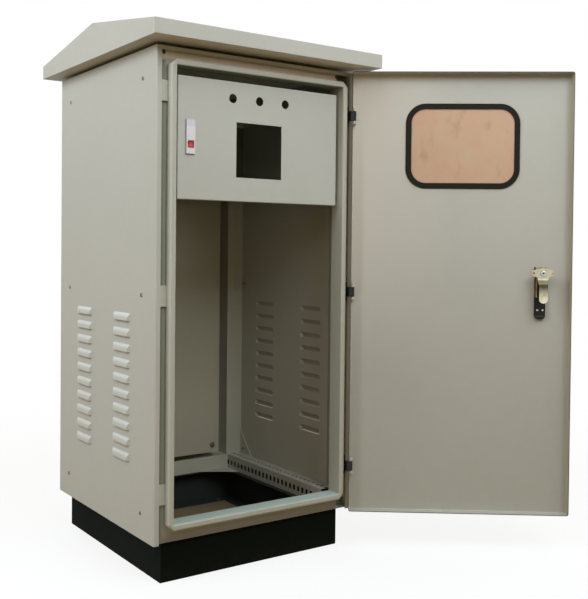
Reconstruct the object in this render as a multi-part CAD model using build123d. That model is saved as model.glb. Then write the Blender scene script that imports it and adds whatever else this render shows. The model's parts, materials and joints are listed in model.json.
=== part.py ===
from build123d import *
import os
from math import atan2, hypot, radians, sin, tan

# Outdoor floor-standing control cabinet of folded sheet steel, on a black plinth, door open.
# Millimetres. X runs to the right when facing the front, Y to the rear, Z up.
# The origin lies on the floor, at the middle of the plinth.
# The door group is drawn closed, then turned about the hinge pins to its open rest position.

# Body
WIDTH = 600.0
DEPTH = 600.0
BODY_TOP = 1292.0
PANEL_BOTTOM = 100.0
SHEET = 1.5
SIDE_FLANGE = 14.0
BEND_RADIUS = 4.0
COVER_DROP = 10.0

# Plinth
PLINTH_LAP = 2.0
PLINTH_SHEET = 2.0
PLINTH_SIDE_INSET = 30.0
PLINTH_END_INSET = 20.0
PLINTH_FLANGE = 38.0
PLINTH_BEND = 3.0
ANCHOR_HOLE_RADIUS = 7.0
ANCHOR_INSET = 50.0

# Front frame: a sunk rain gutter, and a hollow lip that stands around the opening
LIP_SIDE_INSET = 31.0
LIP_WIDTH = 16.0
LIP_TOP_INSET = 29.0
LIP_BOTTOM_INSET = 33.0
LIP_PROUD = 16.0
LIP_CORNER_CUT = 15.0
LIP_OUTER_ROUND = 5.0
LIP_INNER_ROUND = 4.0
LIP_RETURN_DEPTH = 46.5
LIP_RETURN_HEM = 10.0
GUTTER_SINK = 8.0
FRAME_SIDE_LEG = 79.0
FRAME_SIDE_HEM = 10.5
FRAME_TOP_LEG = 42.0
FRAME_BOTTOM_LEG = 52.0
DRAIN_CUT_HEIGHT = 15.0
DRAIN_CUT_LEFT = 13.0
DRAIN_CUT_RIGHT = 46.0
DRAIN_CUT_EDGE_GAP = 2.0
DRAIN_CUT_NOSE = 10.0
DRAIN_CUT_LIP_GAP = 1.0
BLANK_PLATE_HEIGHT = 50.0
BLANK_PLATE_SINK = 1.0

# Rear posts and base rails
POST_WIDTH = 55.5
POST_DEPTH = 48.5
POST_HEM = 13.0
RAIL_HEIGHT = 44.0
RAIL_FACE_INSET = 52.0
RAIL_SLOT_LENGTH = 7.5
RAIL_SLOT_HEIGHT = 12.5
RAIL_HOLE_RAISE = 20.5
RAIL_DOT_RADIUS = 4.0
RAIL_DOT_INSET = 23.0
RAIL_PITCH = 20.0
RAIL_HOLE_COUNT = 22
FLOOR_GUSSET_X = 102.0
FLOOR_GUSSET_Y = 64.0
FLOOR_GUSSET_THICK = 2.0
WALL_GUSSET_Y = 62.0
WALL_GUSSET_Z = 75.0
WALL_BRACKET_HEIGHT = 44.0
WALL_BRACKET_REACH = 33.0
WALL_BRACKET_FOOT = 28.0
WALL_BRACKET_HOLE_RADIUS = 5.0
WALL_BRACKET_HOLE_OFFSET = 10.0

# Side panel screws and louvres
SCREW_INSET = 72.0
SCREW_HEIGHTS = (164.0, 697.0, 1222.0)
SCREW_RADIUS = 2.5
SCREW_LENGTH = 12.0
SCREW_HEAD_RADIUS = 5.0
SCREW_HEAD_HEIGHT = 2.6
LOUVRE_COUNT = 10
LOUVRE_PITCH = 39.0
LOUVRE_TOP = 648.0
LOUVRE_COLUMN_INSET = 182.0
LOUVRE_LENGTH = 98.0
LOUVRE_HEIGHT = 19.5
LOUVRE_DEPTH = 7.0
LOUVRE_END_SLOPE = 10.0
LOUVRE_CORNER = 9.0
LOUVRE_LIP_DROP = 1.5

# Rear panel, mounting plate
REAR_PANEL_GAP = 2.0
REAR_SCREW_SPREAD = 0.23
PLATE_SIDE_INSET = 94.0
PLATE_BOTTOM_RAISE = 17.0
PLATE_TOP_DROP = 92.0
PLATE_THICK = 2.5
PLATE_STANDOFF = 56.0
PLATE_CORNER_RADIUS = 12.0
PLATE_BOLT_INSET_X = 22.0
PLATE_BOLT_INSET_Z = 23.0
PLATE_BOLT_RADIUS = 4.0
PLATE_BOLT_HEAD = 6.5
PLATE_NOTCH_Z = 704.0
PLATE_NOTCH_HEIGHT = 22.0
PLATE_NOTCH_DEPTH = 4.0
STANDOFF_RADIUS = 8.0

# Roof: a gabled canopy over the body, with its ridge parallel to the front
ROOF_GAP = 8.0
ROOF_SIDE_OVERHANG = 41.0
ROOF_FRONT_OVERHANG = 70.0
ROOF_REAR_OVERHANG = 41.0
FASCIA_HEIGHT = 36.0
RIDGE_RISE = 92.0
SPACER_RADIUS = 15.0
SPACER_INSET = 70.0
ROOF_BOLT_RADIUS = 5.0
ROOF_BOLT_HEAD_RADIUS = 8.5
ROOF_BOLT_HEAD = 6.4
ROOF_BOLT_END = 12.0

# Instrument panel behind the lip
PANEL_LEFT_GAP = 12.0
PANEL_RIGHT_GAP = 8.0
PANEL_TOP_GAP = 19.0
PANEL_HEIGHT = 298.0
PANEL_SINK = 4.0
PANEL_FOLD = 15.0
PANEL_EDGE_ROUND = 2.0
INSTRUMENT_CENTRE = -5.0
METER_CUTOUT = 138.0
METER_RAISE = 60.0
LAMP_RADIUS = 11.25
LAMP_PITCH = 80.0
LAMP_DROP = 42.0
PANEL_BRACKET_HEIGHT = 24.0
PANEL_BRACKET_LAP = 14.0
PANEL_BRACKET_INSET = 48.0

# Modular isolator in the instrument panel
SWITCH_FROM_EDGE = 34.0
SWITCH_WIDTH = 24.0
SWITCH_RAISE = 110.5
SWITCH_HEIGHT = 83.0
SWITCH_PROUD = 5.0
SWITCH_DEPTH = 62.0
SWITCH_SHOULDER = 16.5
SWITCH_STEP = 1.2
SWITCH_CUTOUT_GAP = 0.5
SWITCH_RAIL_HALF_HEIGHT = 17.5
TOGGLE_WIDTH = 17.3
TOGGLE_RAISE = 22.8
TOGGLE_SINK = 5.3
TOGGLE_HALF = 7.7
TOGGLE_MIDDLE = 5.0
TOGGLE_EDGE = 6.5
TOGGLE_HUB_RADIUS = 3.5
TOGGLE_GAP = 0.5
TOGGLE_REST_ANGLE = 7.0

# Door: a folded pan hung on three concealed hinges at the right
DOOR_REVEAL = 5.0
DOOR_END_REVEAL = 1.0
DOOR_THICK = 30.0
DOOR_GAP = 2.0
DOOR_BEND = 3.0
DOOR_CORNER = 6.0
DOOR_OPEN_ANGLE = 143.3
WINDOW_RAISE = 35.5
WINDOW_WIDTH = 307.0
WINDOW_HEIGHT = 230.0
WINDOW_CORNER = 54.0
GASKET_FACE = 15.0
GASKET_THICK = 9.0
GASKET_GRIP = 7.0
GASKET_ROUND = 2.2
PANE_THICK = 4.0
PANE_GAP = 0.3

# Hinges
HINGE_HEIGHTS = (222.0, 697.0, 1173.0)
BLANK_HEIGHTS = (221.0, 697.0, 1186.0)
HINGE_PIN_FROM_EDGE = 6.0
HINGE_PIN_FROM_RIM = 16.5
HINGE_PIN_RADIUS = 2.5
HINGE_BORE_GAP = 0.05
HINGE_BARREL_RADIUS = 5.0
HINGE_BARREL_HEIGHT = 26.0
HINGE_ARM_THICK = 8.0
HINGE_ARM_SETBACK = 6.0
HINGE_BASE_HEIGHT = 50.0
HINGE_BASE_THICK = 6.0
HINGE_BASE_GAP = 1.0
HINGE_LUG_HEIGHT = 7.5
HINGE_LUG_GAP = 0.4
HINGE_NOTCH_GAP = 2.0
HINGE_NOTCH_DEPTH = 25.0
HINGE_PIN_HEAD_RADIUS = 3.2
HINGE_PIN_HEAD = 3.0

# Swing-handle lock
LOCK_FROM_EDGE = 79.0
LOCK_Z = 753.0
LOCK_BASE_WIDTH = 34.0
LOCK_BASE_ABOVE = 27.0
LOCK_BOSS_ABOVE = 14.0
LOCK_BASE_BELOW = 131.0
LOCK_BASE_THICK = 6.0
LOCK_CUTOUT_WIDTH = 24.0
LOCK_FIT_GAP = 0.3
HOUSING_WIDTH = 28.5
HOUSING_TOP = -66.0
HOUSING_BOTTOM = -125.0
HOUSING_PROUD = 10.0
HOUSING_SCREW_Z = -100.0
HOUSING_SCREW_HALF = 7.0
HOUSING_SCREW_RADIUS = 2.6
BRACKET_WIDTH = 28.5
BRACKET_TOP = 16.0
BRACKET_SLOT_HALF = 8.5
BRACKET_SLOT_TOP = -20.0
BRACKET_NOTCH_DEPTH = 4.0
BRACKET_NOTCH_TOP = -9.0
BRACKET_NOTCH_HEIGHT = 6.0
BRACKET_PROUD = 10.0
BRACKET_SHEET = 2.0
SPINDLE_RADIUS = 8.0
SPINDLE_GAP = 0.1
CAM_LIFT = 6.0
CAM_THICK = 3.0
CAM_ARM_HALF = 33.0
CAM_ARM_END_RADIUS = 8.0
CAM_HUB_RADIUS = 14.0
CAM_NECK_HALF = 13.5
CAM_NECK_SPREAD = 3.0
CAM_NECK_Z = -21.0
CAM_JOGGLE = 7.0
CAM_JOGGLE_LENGTH = 8.0
TONGUE_HALF = 11.5
TONGUE_LENGTH = 80.0
CAM_HOLE_RADIUS = 3.0
CAM_SCREW_RADIUS = 7.0
CAM_SCREW_HEIGHT = 4.0
KEEPER_SLOT_GAP = 3.0
HUB_RADIUS = 14.0
HUB_THICK = 4.0
HUB_SEAT_GAP = 0.4
HANDLE_AXIS_OUT = 11.0
HANDLE_AXIS_RISE = 6.5
HANDLE_EAR_THICK = 4.5
HANDLE_EAR_RADIUS = 6.0
HANDLE_PIN_RADIUS = 2.0
HANDLE_PIN_GAP = 0.05
HANDLE_LENGTH = 124.0
HANDLE_ROOT_WIDTH = 16.0
HANDLE_GRIP_WIDTH = 26.0
HANDLE_THICK = 11.0
HANDLE_SIDE_GAP = 0.4
HANDLE_LIFT_ANGLE = 30.0
CYLINDER_RADIUS = 8.0
CYLINDER_PROUD = 1.5
CYLINDER_FROM_END = 16.0
KEYWAY_WIDTH = 1.6
KEYWAY_HEIGHT = 8.0

# Places that follow from the sizes above
HALF_WIDTH = WIDTH / 2
HALF_DEPTH = DEPTH / 2
FRONT = -HALF_DEPTH
WALL_IN = HALF_WIDTH - SHEET
REAR_IN = HALF_DEPTH - SHEET
COVER_UNDER = BODY_TOP - SHEET
PLINTH_HEIGHT = PANEL_BOTTOM + PLINTH_LAP
ANCHOR_X = HALF_WIDTH - PLINTH_SIDE_INSET - ANCHOR_INSET
SCREW_Y = HALF_DEPTH - SCREW_INSET
LOUVRE_COLUMN_Y = HALF_DEPTH - LOUVRE_COLUMN_INSET
LIP_OUTER_HALF = HALF_WIDTH - LIP_SIDE_INSET
LIP_TOP = BODY_TOP - LIP_TOP_INSET
LIP_BOTTOM = PANEL_BOTTOM + LIP_BOTTOM_INSET
LIP_FRONT = FRONT - LIP_PROUD
LIP_INNER_HALF = LIP_OUTER_HALF - LIP_WIDTH
LIP_INNER_TOP = LIP_TOP - LIP_WIDTH
LIP_INNER_BOTTOM = LIP_BOTTOM + LIP_WIDTH
LIP_RETURN_BACK = LIP_FRONT + LIP_RETURN_DEPTH
GUTTER_FRONT = FRONT + GUTTER_SINK
GUTTER_BACK = GUTTER_FRONT + SHEET
FRAME_SIDE_BACK = GUTTER_FRONT + FRAME_SIDE_LEG
FRAME_BOTTOM_BACK = GUTTER_FRONT + FRAME_BOTTOM_LEG
POST_IN = WALL_IN - POST_WIDTH
POST_FRONT = REAR_IN - POST_DEPTH
RAIL_IN = HALF_WIDTH - RAIL_FACE_INSET
RAIL_OUT = WALL_IN - SHEET
RAIL_TOP = PLINTH_HEIGHT + RAIL_HEIGHT
RAIL_PATTERN_CENTRE = (FRAME_BOTTOM_BACK + POST_FRONT) / 2 + RAIL_PITCH / 2
REAR_SCREW_PITCH = (COVER_UNDER - PLINTH_HEIGHT) * REAR_SCREW_SPREAD
PLATE_HALF_WIDTH = HALF_WIDTH - PLATE_SIDE_INSET
PLATE_BOTTOM = RAIL_TOP + PLATE_BOTTOM_RAISE
PLATE_TOP = BODY_TOP - PLATE_TOP_DROP
PLATE_BACK = REAR_IN - PLATE_STANDOFF
PLATE_FRONT = PLATE_BACK - PLATE_THICK
PANEL_LEFT = PANEL_LEFT_GAP - LIP_INNER_HALF
PANEL_RIGHT = LIP_INNER_HALF - PANEL_RIGHT_GAP
PANEL_HIGH = LIP_INNER_TOP - PANEL_TOP_GAP
PANEL_LOW = PANEL_HIGH - PANEL_HEIGHT
PANEL_FRONT = FRONT + PANEL_SINK
PANEL_BACK = PANEL_FRONT + PANEL_FOLD
METER_LOW = PANEL_LOW + METER_RAISE
LAMP_Z = PANEL_HIGH - LAMP_DROP
SWITCH_CENTRE = PANEL_LEFT + SWITCH_FROM_EDGE
SWITCH_LOW = PANEL_LOW + SWITCH_RAISE
WINDOW_CENTRE_Z = METER_LOW + METER_CUTOUT / 2 + WINDOW_RAISE
ROOF_UNDERSIDE = BODY_TOP + ROOF_GAP
ROOF_FRONT = FRONT - ROOF_FRONT_OVERHANG
ROOF_REAR = HALF_DEPTH + ROOF_REAR_OVERHANG
ROOF_HALF = HALF_WIDTH + ROOF_SIDE_OVERHANG
RIDGE_Y = (ROOF_FRONT + ROOF_REAR) / 2
SPACER_X = HALF_WIDTH - SPACER_INSET
SPACER_Y = HALF_DEPTH - SPACER_INSET
DOOR_HALF = HALF_WIDTH - DOOR_REVEAL
DOOR_BOTTOM = PANEL_BOTTOM + DOOR_END_REVEAL
DOOR_TOP = BODY_TOP - DOOR_END_REVEAL
DOOR_RIM = FRONT - DOOR_GAP
DOOR_FACE = DOOR_RIM - DOOR_THICK
DOOR_INSIDE = DOOR_FACE + SHEET
PIN_X = DOOR_HALF - HINGE_PIN_FROM_EDGE
PIN_Y = DOOR_RIM - HINGE_PIN_FROM_RIM
LOCK_X = LOCK_FROM_EDGE - DOOR_HALF
CAM_FRONT = DOOR_RIM + CAM_LIFT
CAM_BACK = CAM_FRONT + CAM_THICK
LOCK_BASE_FACE = DOOR_FACE - LOCK_BASE_THICK
HUB_BACK = LOCK_BASE_FACE - HUB_SEAT_GAP
HUB_FRONT = HUB_BACK - HUB_THICK
HANDLE_AXIS_Y = HUB_FRONT - HANDLE_AXIS_RISE
DOOR_TO_REST = Pos(PIN_X, PIN_Y) * Rot(0, 0, DOOR_OPEN_ANGLE) * Pos(-PIN_X, -PIN_Y)


# Helpers

def box(x0, x1, y0, y1, z0, z1):
    """Box between two corners."""
    return Pos((x0 + x1) / 2, (y0 + y1) / 2, (z0 + z1) / 2) * Box(x1 - x0, y1 - y0, z1 - z0)


def rect(u0, u1, v0, v1):
    """Flat rectangle between two corners of a sketch."""
    return Pos((u0 + u1) / 2, (v0 + v1) / 2) * Rectangle(u1 - u0, v1 - v0)


def along_x(sketch, x0, x1):
    """Prism of a sketch drawn in Y and Z, from x0 to x1."""
    plane = Plane(origin=(x0, 0, 0), x_dir=(0, 1, 0), z_dir=(1, 0, 0))
    return extrude(plane * sketch, amount=x1 - x0)


def along_y(sketch, y0, y1):
    """Prism of a sketch drawn in X and Z, from y0 to y1."""
    plane = Plane(origin=(0, y1, 0), x_dir=(1, 0, 0), z_dir=(0, -1, 0))
    return extrude(plane * sketch, amount=y1 - y0)


def along_z(sketch, z0, z1):
    """Prism of a sketch drawn in X and Y, from z0 to z1."""
    return extrude(Pos(0, 0, z0) * sketch, amount=z1 - z0)


def rod_x(radius, x0, x1, y, z):
    """Round bar along X."""
    return along_x(Pos(y, z) * Circle(radius), x0, x1)


def rod_y(radius, y0, y1, x, z):
    """Round bar along Y."""
    return along_y(Pos(x, z) * Circle(radius), y0, y1)


def rod_z(radius, z0, z1, x, y):
    """Round bar along Z."""
    return along_z(Pos(x, y) * Circle(radius), z0, z1)


def mirrored(part):
    """The same part on the other side of the cabinet."""
    return mirror(part, about=Plane.YZ)


def upright_edges(part, x, y):
    """Edges that run along Z at a given place."""
    return [e for e in part.edges().filter_by(Axis.Z)
            if abs(e.center().X - x) < 0.01 and abs(e.center().Y - y) < 0.01]


def edges_along_x(part, y, z):
    """Edges that run along X at a given place."""
    return [e for e in part.edges().filter_by(Axis.X)
            if abs(e.center().Y - y) < 0.01 and abs(e.center().Z - z) < 0.01]


# Plinth: four folded channels, the front and rear ones running across the full width

def plinth_end():
    """Front channel with closed ends, open to the rear, with anchor holes in its foot."""
    half = HALF_WIDTH - PLINTH_SIDE_INSET
    front = FRONT + PLINTH_END_INSET
    back = front + PLINTH_FLANGE
    channel = box(-half, half, front, back, 0, PLINTH_HEIGHT)
    channel = fillet(edges_along_x(channel, front, 0) + edges_along_x(channel, front, PLINTH_HEIGHT),
                     PLINTH_BEND)
    channel -= box(-half + PLINTH_SHEET, half - PLINTH_SHEET, front + PLINTH_SHEET, back,
                   PLINTH_SHEET, PLINTH_HEIGHT - PLINTH_SHEET)
    for side in (-1, 1):
        channel -= rod_z(ANCHOR_HOLE_RADIUS, 0, PLINTH_SHEET, side * ANCHOR_X, front + PLINTH_FLANGE / 2)
    return channel


def plinth_side():
    """Left channel between the front and rear ones, open to the inside."""
    outer = -HALF_WIDTH + PLINTH_SIDE_INSET
    half = HALF_DEPTH - PLINTH_END_INSET - PLINTH_FLANGE
    inner = outer + PLINTH_FLANGE
    channel = box(outer, inner, -half, half, 0, PLINTH_HEIGHT)
    return channel - box(outer + PLINTH_SHEET, inner, -half, half, PLINTH_SHEET, PLINTH_HEIGHT - PLINTH_SHEET)


# Side panel with folded edges and two columns of louvres

def louvre_solid(wall):
    """Hood of the top louvre at the middle of the side, or its hollow, with a wall taken off all round."""
    skin = -HALF_WIDTH
    root = skin + SHEET + wall
    nose = skin - LOUVRE_DEPTH + wall
    low = LOUVRE_TOP - LOUVRE_HEIGHT
    high = LOUVRE_TOP - 2 * wall
    cut = low + LOUVRE_LIP_DROP
    half = LOUVRE_LENGTH / 2 - wall
    bow = ThreePointArc((skin, high), (skin + (nose - skin) * 0.72, low + (high - low) * 0.48), (nose, low))
    edges = Polyline((nose, low), (skin, low), (skin, cut), (root, cut), (root, high), (skin, high))
    hood = extrude(Plane(origin=(0, -half, 0), x_dir=(1, 0, 0), z_dir=(0, -1, 0)) * make_face([bow, edges]),
                   amount=-2 * half)
    slope = Polyline((root, -half), (skin, -half), (nose, -half + LOUVRE_END_SLOPE),
                     (nose, half - LOUVRE_END_SLOPE), (skin, half), (root, half), close=True)
    face = rect(-half, half, low, high)
    face = fillet(face.vertices().group_by(Axis.Y)[-1], LOUVRE_CORNER - wall)
    return hood & along_z(make_face(slope), low, high) & along_x(face, nose, root)


def side_panel():
    """Left side panel: one sheet with folded front and rear edges and louvres pressed out of it."""
    panel = box(-HALF_WIDTH, -HALF_WIDTH + SIDE_FLANGE, FRONT, HALF_DEPTH, PANEL_BOTTOM, BODY_TOP)
    panel = fillet(upright_edges(panel, -HALF_WIDTH, FRONT) + upright_edges(panel, -HALF_WIDTH, HALF_DEPTH),
                   BEND_RADIUS)
    hollow = box(-WALL_IN, -HALF_WIDTH + SIDE_FLANGE, FRONT + SHEET, REAR_IN, PANEL_BOTTOM, BODY_TOP)
    hollow = fillet(upright_edges(hollow, -WALL_IN, FRONT + SHEET) + upright_edges(hollow, -WALL_IN, REAR_IN),
                    BEND_RADIUS - SHEET)
    panel -= hollow
    hood = louvre_solid(0)
    hollow = louvre_solid(SHEET)
    hoods = []
    hollows = []
    for column in (-LOUVRE_COLUMN_Y, LOUVRE_COLUMN_Y):
        for row in range(LOUVRE_COUNT):
            place = Pos(0, column, -row * LOUVRE_PITCH)
            hoods.append(place * hood)
            hollows.append(place * hollow)
    panel = panel + hoods - hollows
    for z in SCREW_HEIGHTS:
        for y in (-SCREW_Y, SCREW_Y):
            panel -= rod_x(SCREW_RADIUS, -HALF_WIDTH, -WALL_IN, y, z)
    return panel


def side_screws():
    """Six domed screws of the left side panel."""
    screws = []
    for z in SCREW_HEIGHTS:
        for y in (-SCREW_Y, SCREW_Y):
            shank = rod_x(SCREW_RADIUS, -HALF_WIDTH, -HALF_WIDTH + SCREW_LENGTH, y, z)
            head = rod_x(SCREW_HEAD_RADIUS, -HALF_WIDTH - SCREW_HEAD_HEIGHT, -HALF_WIDTH, y, z)
            rim = head.edges().sort_by(Axis.X)[0]
            screws.append(shank + fillet(rim, SCREW_HEAD_HEIGHT * 0.7))
    return Compound(screws)


# Front frame

def lip_ring(inset, back):
    """Solid ring of the lip, cut back by an inset on every face but the rear one."""
    outer = rect(-LIP_OUTER_HALF + inset, LIP_OUTER_HALF - inset, LIP_BOTTOM + inset, LIP_TOP - inset)
    cut = LIP_CORNER_CUT - inset * tan(radians(22.5))
    outer = chamfer(outer.vertices(), cut)
    inner = rect(-LIP_INNER_HALF - inset, LIP_INNER_HALF + inset,
                 LIP_INNER_BOTTOM - inset, LIP_INNER_TOP + inset)
    front = LIP_FRONT + inset
    ring = along_y(outer, front, back)
    ring = fillet(ring.faces().sort_by(Axis.Y)[0].edges(), LIP_OUTER_ROUND - inset)
    hole = along_y(inner, front - 1, back)
    ring -= hole
    inner_edges = [e for e in ring.edges()
                   if abs(e.center().Y - front) < 0.01
                   and abs(e.center().X) < LIP_INNER_HALF + inset + 0.01
                   and LIP_INNER_BOTTOM - inset - 0.01 < e.center().Z < LIP_INNER_TOP + inset + 0.01]
    return fillet(inner_edges, LIP_INNER_ROUND - inset)


def frame_wall(half, low, high, thick, y0, y1):
    """Rectangular tube around the opening, thickened outwards."""
    outer = rect(-half - thick, half + thick, low - thick, high + thick)
    return along_y(outer - rect(-half, half, low, high), y0, y1)


def front_frame():
    """Frame around the opening: gutter, hollow lip, inner return and the legs that carry the panels."""
    floor = along_y(rect(-WALL_IN, WALL_IN, PLINTH_HEIGHT, COVER_UNDER), GUTTER_FRONT, GUTTER_BACK)
    drain_top = COVER_UNDER - DRAIN_CUT_EDGE_GAP
    edge = HALF_WIDTH - SIDE_FLANGE
    floor -= box(-edge, -edge + DRAIN_CUT_LEFT, GUTTER_FRONT, GUTTER_BACK,
                 drain_top - DRAIN_CUT_HEIGHT, drain_top)
    cut_left = edge - DRAIN_CUT_RIGHT
    corner_cut = Polyline((cut_left, drain_top - DRAIN_CUT_NOSE), (cut_left + DRAIN_CUT_NOSE, drain_top),
                          (edge, drain_top), (edge, LIP_TOP - LIP_CORNER_CUT),
                          (LIP_OUTER_HALF + DRAIN_CUT_LIP_GAP, LIP_TOP - LIP_CORNER_CUT),
                          (LIP_OUTER_HALF - LIP_CORNER_CUT, LIP_TOP + DRAIN_CUT_LIP_GAP), close=True)
    floor -= along_y(make_face(corner_cut), GUTTER_FRONT, GUTTER_BACK)
    floor -= box(LIP_OUTER_HALF - LIP_CORNER_CUT / 2, edge, GUTTER_FRONT, GUTTER_BACK,
                 PLINTH_HEIGHT, LIP_BOTTOM - DRAIN_CUT_EDGE_GAP)
    frame = floor + lip_ring(0, GUTTER_BACK)
    frame -= lip_ring(SHEET, GUTTER_BACK)
    frame -= along_y(rect(-LIP_INNER_HALF, LIP_INNER_HALF, LIP_INNER_BOTTOM, LIP_INNER_TOP),
                     GUTTER_FRONT, GUTTER_BACK)
    frame += frame_wall(LIP_INNER_HALF, LIP_INNER_BOTTOM, LIP_INNER_TOP, SHEET,
                        GUTTER_BACK - SHEET, LIP_RETURN_BACK)
    frame += frame_wall(LIP_INNER_HALF, LIP_INNER_BOTTOM, LIP_INNER_TOP, LIP_RETURN_HEM,
                        LIP_RETURN_BACK - SHEET, LIP_RETURN_BACK)
    for side in (-1, 1):
        outer = side * WALL_IN
        inner = side * (WALL_IN - SHEET)
        hem = side * (WALL_IN - FRAME_SIDE_HEM)
        frame += box(min(outer, inner), max(outer, inner), GUTTER_FRONT, FRAME_SIDE_BACK,
                     PLINTH_HEIGHT, COVER_UNDER)
        frame += box(min(outer, hem), max(outer, hem), FRAME_SIDE_BACK - SHEET, FRAME_SIDE_BACK,
                     RAIL_TOP, COVER_UNDER)
    frame += box(-WALL_IN, WALL_IN, GUTTER_FRONT, GUTTER_FRONT + FRAME_TOP_LEG,
                 COVER_UNDER - SHEET, COVER_UNDER)
    frame += box(-WALL_IN, WALL_IN, GUTTER_FRONT, FRAME_BOTTOM_BACK,
                 PLINTH_HEIGHT, PLINTH_HEIGHT + SHEET)
    for z in SCREW_HEIGHTS:
        frame -= rod_x(SCREW_RADIUS, -WALL_IN, -WALL_IN + SHEET, -SCREW_Y, z)
        frame -= rod_x(SCREW_RADIUS, WALL_IN - SHEET, WALL_IN, -SCREW_Y, z)
    slot_low = LOCK_Z - TONGUE_LENGTH - KEEPER_SLOT_GAP
    slot_high = LOCK_Z + TONGUE_HALF + KEEPER_SLOT_GAP
    slot_back = CAM_BACK + CAM_JOGGLE + KEEPER_SLOT_GAP
    return frame - box(-LIP_INNER_HALF - SHEET, -LIP_INNER_HALF, GUTTER_BACK, slot_back, slot_low, slot_high)


def blank_plate(z):
    """Light plate that bridges the left gutter where a left-hand hinge would sit."""
    half = BLANK_PLATE_HEIGHT / 2
    return box(-HALF_WIDTH + SIDE_FLANGE, -LIP_OUTER_HALF, FRONT + BLANK_PLATE_SINK, GUTTER_FRONT,
               z - half, z + half)


# Rear posts, base rails, gussets and brackets

def rear_post():
    """Right rear corner post, a folded channel with a hem for the rear panel."""
    post = box(POST_IN, WALL_IN, POST_FRONT, REAR_IN, PLINTH_HEIGHT, COVER_UNDER)
    post -= box(POST_IN + SHEET, WALL_IN - SHEET, POST_FRONT + SHEET, REAR_IN, PLINTH_HEIGHT, COVER_UNDER)
    post -= box(WALL_IN - SHEET, WALL_IN, HALF_DEPTH - BEND_RADIUS, REAR_IN, PLINTH_HEIGHT, COVER_UNDER)
    return post + box(POST_IN, POST_IN + POST_HEM, REAR_IN - SHEET, REAR_IN, PLINTH_HEIGHT, COVER_UNDER)


def rear_rail(low, high):
    """Cross rail between the rear posts, open to the rear."""
    rail = box(-POST_IN, POST_IN, POST_FRONT, REAR_IN, low, high)
    return rail - box(-POST_IN, POST_IN, POST_FRONT + SHEET, REAR_IN, low + SHEET, high - SHEET)


def side_rail():
    """Right base rail with upright slots in its face and round holes in its top."""
    rail = box(RAIL_IN, RAIL_OUT, FRAME_BOTTOM_BACK, POST_FRONT, PLINTH_HEIGHT, RAIL_TOP)
    rail -= box(RAIL_IN + SHEET, RAIL_OUT, FRAME_BOTTOM_BACK, POST_FRONT,
                PLINTH_HEIGHT + SHEET, RAIL_TOP - SHEET)
    middle = PLINTH_HEIGHT + RAIL_HOLE_RAISE
    holes = []
    for index in range(RAIL_HOLE_COUNT):
        y = RAIL_PATTERN_CENTRE + (index - (RAIL_HOLE_COUNT - 1) / 2) * RAIL_PITCH
        holes.append(box(RAIL_IN, RAIL_IN + SHEET, y - RAIL_SLOT_LENGTH / 2, y + RAIL_SLOT_LENGTH / 2,
                         middle - RAIL_SLOT_HEIGHT / 2, middle + RAIL_SLOT_HEIGHT / 2))
        holes.append(rod_z(RAIL_DOT_RADIUS, RAIL_TOP - SHEET, RAIL_TOP, RAIL_IN + RAIL_DOT_INSET, y))
    return rail - holes


def floor_gusset(corner_y, direction):
    """Flat triangle in a right-hand floor corner, welded between two rails."""
    tip = (RAIL_IN, corner_y)
    triangle = Polyline(tip, (RAIL_IN - FLOOR_GUSSET_X, corner_y),
                        (RAIL_IN, corner_y + direction * FLOOR_GUSSET_Y), close=True)
    return along_z(make_face(triangle), PLINTH_HEIGHT, PLINTH_HEIGHT + FLOOR_GUSSET_THICK)


def wall_gusset():
    """Upright triangle in the right rear corner that takes the lowest rear side screw."""
    triangle = Polyline((POST_FRONT, RAIL_TOP), (POST_FRONT - WALL_GUSSET_Y, RAIL_TOP),
                        (POST_FRONT, RAIL_TOP + WALL_GUSSET_Z), close=True)
    plate = along_x(make_face(triangle), WALL_IN - FLOOR_GUSSET_THICK, WALL_IN)
    return plate - rod_x(SCREW_RADIUS, WALL_IN - FLOOR_GUSSET_THICK, WALL_IN, SCREW_Y, SCREW_HEIGHTS[0])


def wall_bracket(z):
    """Angle from the right rear post along the wall, under a side screw."""
    low = z - WALL_BRACKET_HEIGHT / 2
    high = z + WALL_BRACKET_HEIGHT / 2
    angle = box(WALL_IN - SHEET, WALL_IN, POST_FRONT - WALL_BRACKET_REACH, POST_FRONT, low, high)
    angle += box(WALL_IN - WALL_BRACKET_FOOT, WALL_IN, POST_FRONT - SHEET, POST_FRONT, low, high)
    angle -= rod_x(SCREW_RADIUS, WALL_IN - SHEET, WALL_IN, SCREW_Y, z)
    hole_z = z + WALL_BRACKET_HOLE_OFFSET
    hole_y = SCREW_Y + 2 * SCREW_RADIUS
    return angle - rod_x(WALL_BRACKET_HOLE_RADIUS / 2, WALL_IN - SHEET, WALL_IN, hole_y, hole_z)


# Rear panel and mounting plate

def rear_screw_places():
    """Places of the rear panel screws, in X and Z."""
    middle = (PLINTH_HEIGHT + COVER_UNDER) / 2
    x = (HALF_WIDTH - SIDE_FLANGE + POST_IN) / 2
    return [(side * x, middle + row * REAR_SCREW_PITCH) for side in (-1, 1) for row in (-2, -0.7, 0.7, 2)]


def rear_panel():
    """Screwed rear sheet between the folded edges of the side panels."""
    half = HALF_WIDTH - SIDE_FLANGE - REAR_PANEL_GAP
    panel = box(-half, half, REAR_IN, HALF_DEPTH, PANEL_BOTTOM, BODY_TOP - COVER_DROP - REAR_PANEL_GAP)
    for x, z in rear_screw_places():
        panel -= rod_y(SCREW_RADIUS, REAR_IN, HALF_DEPTH, x, z)
    return panel


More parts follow.
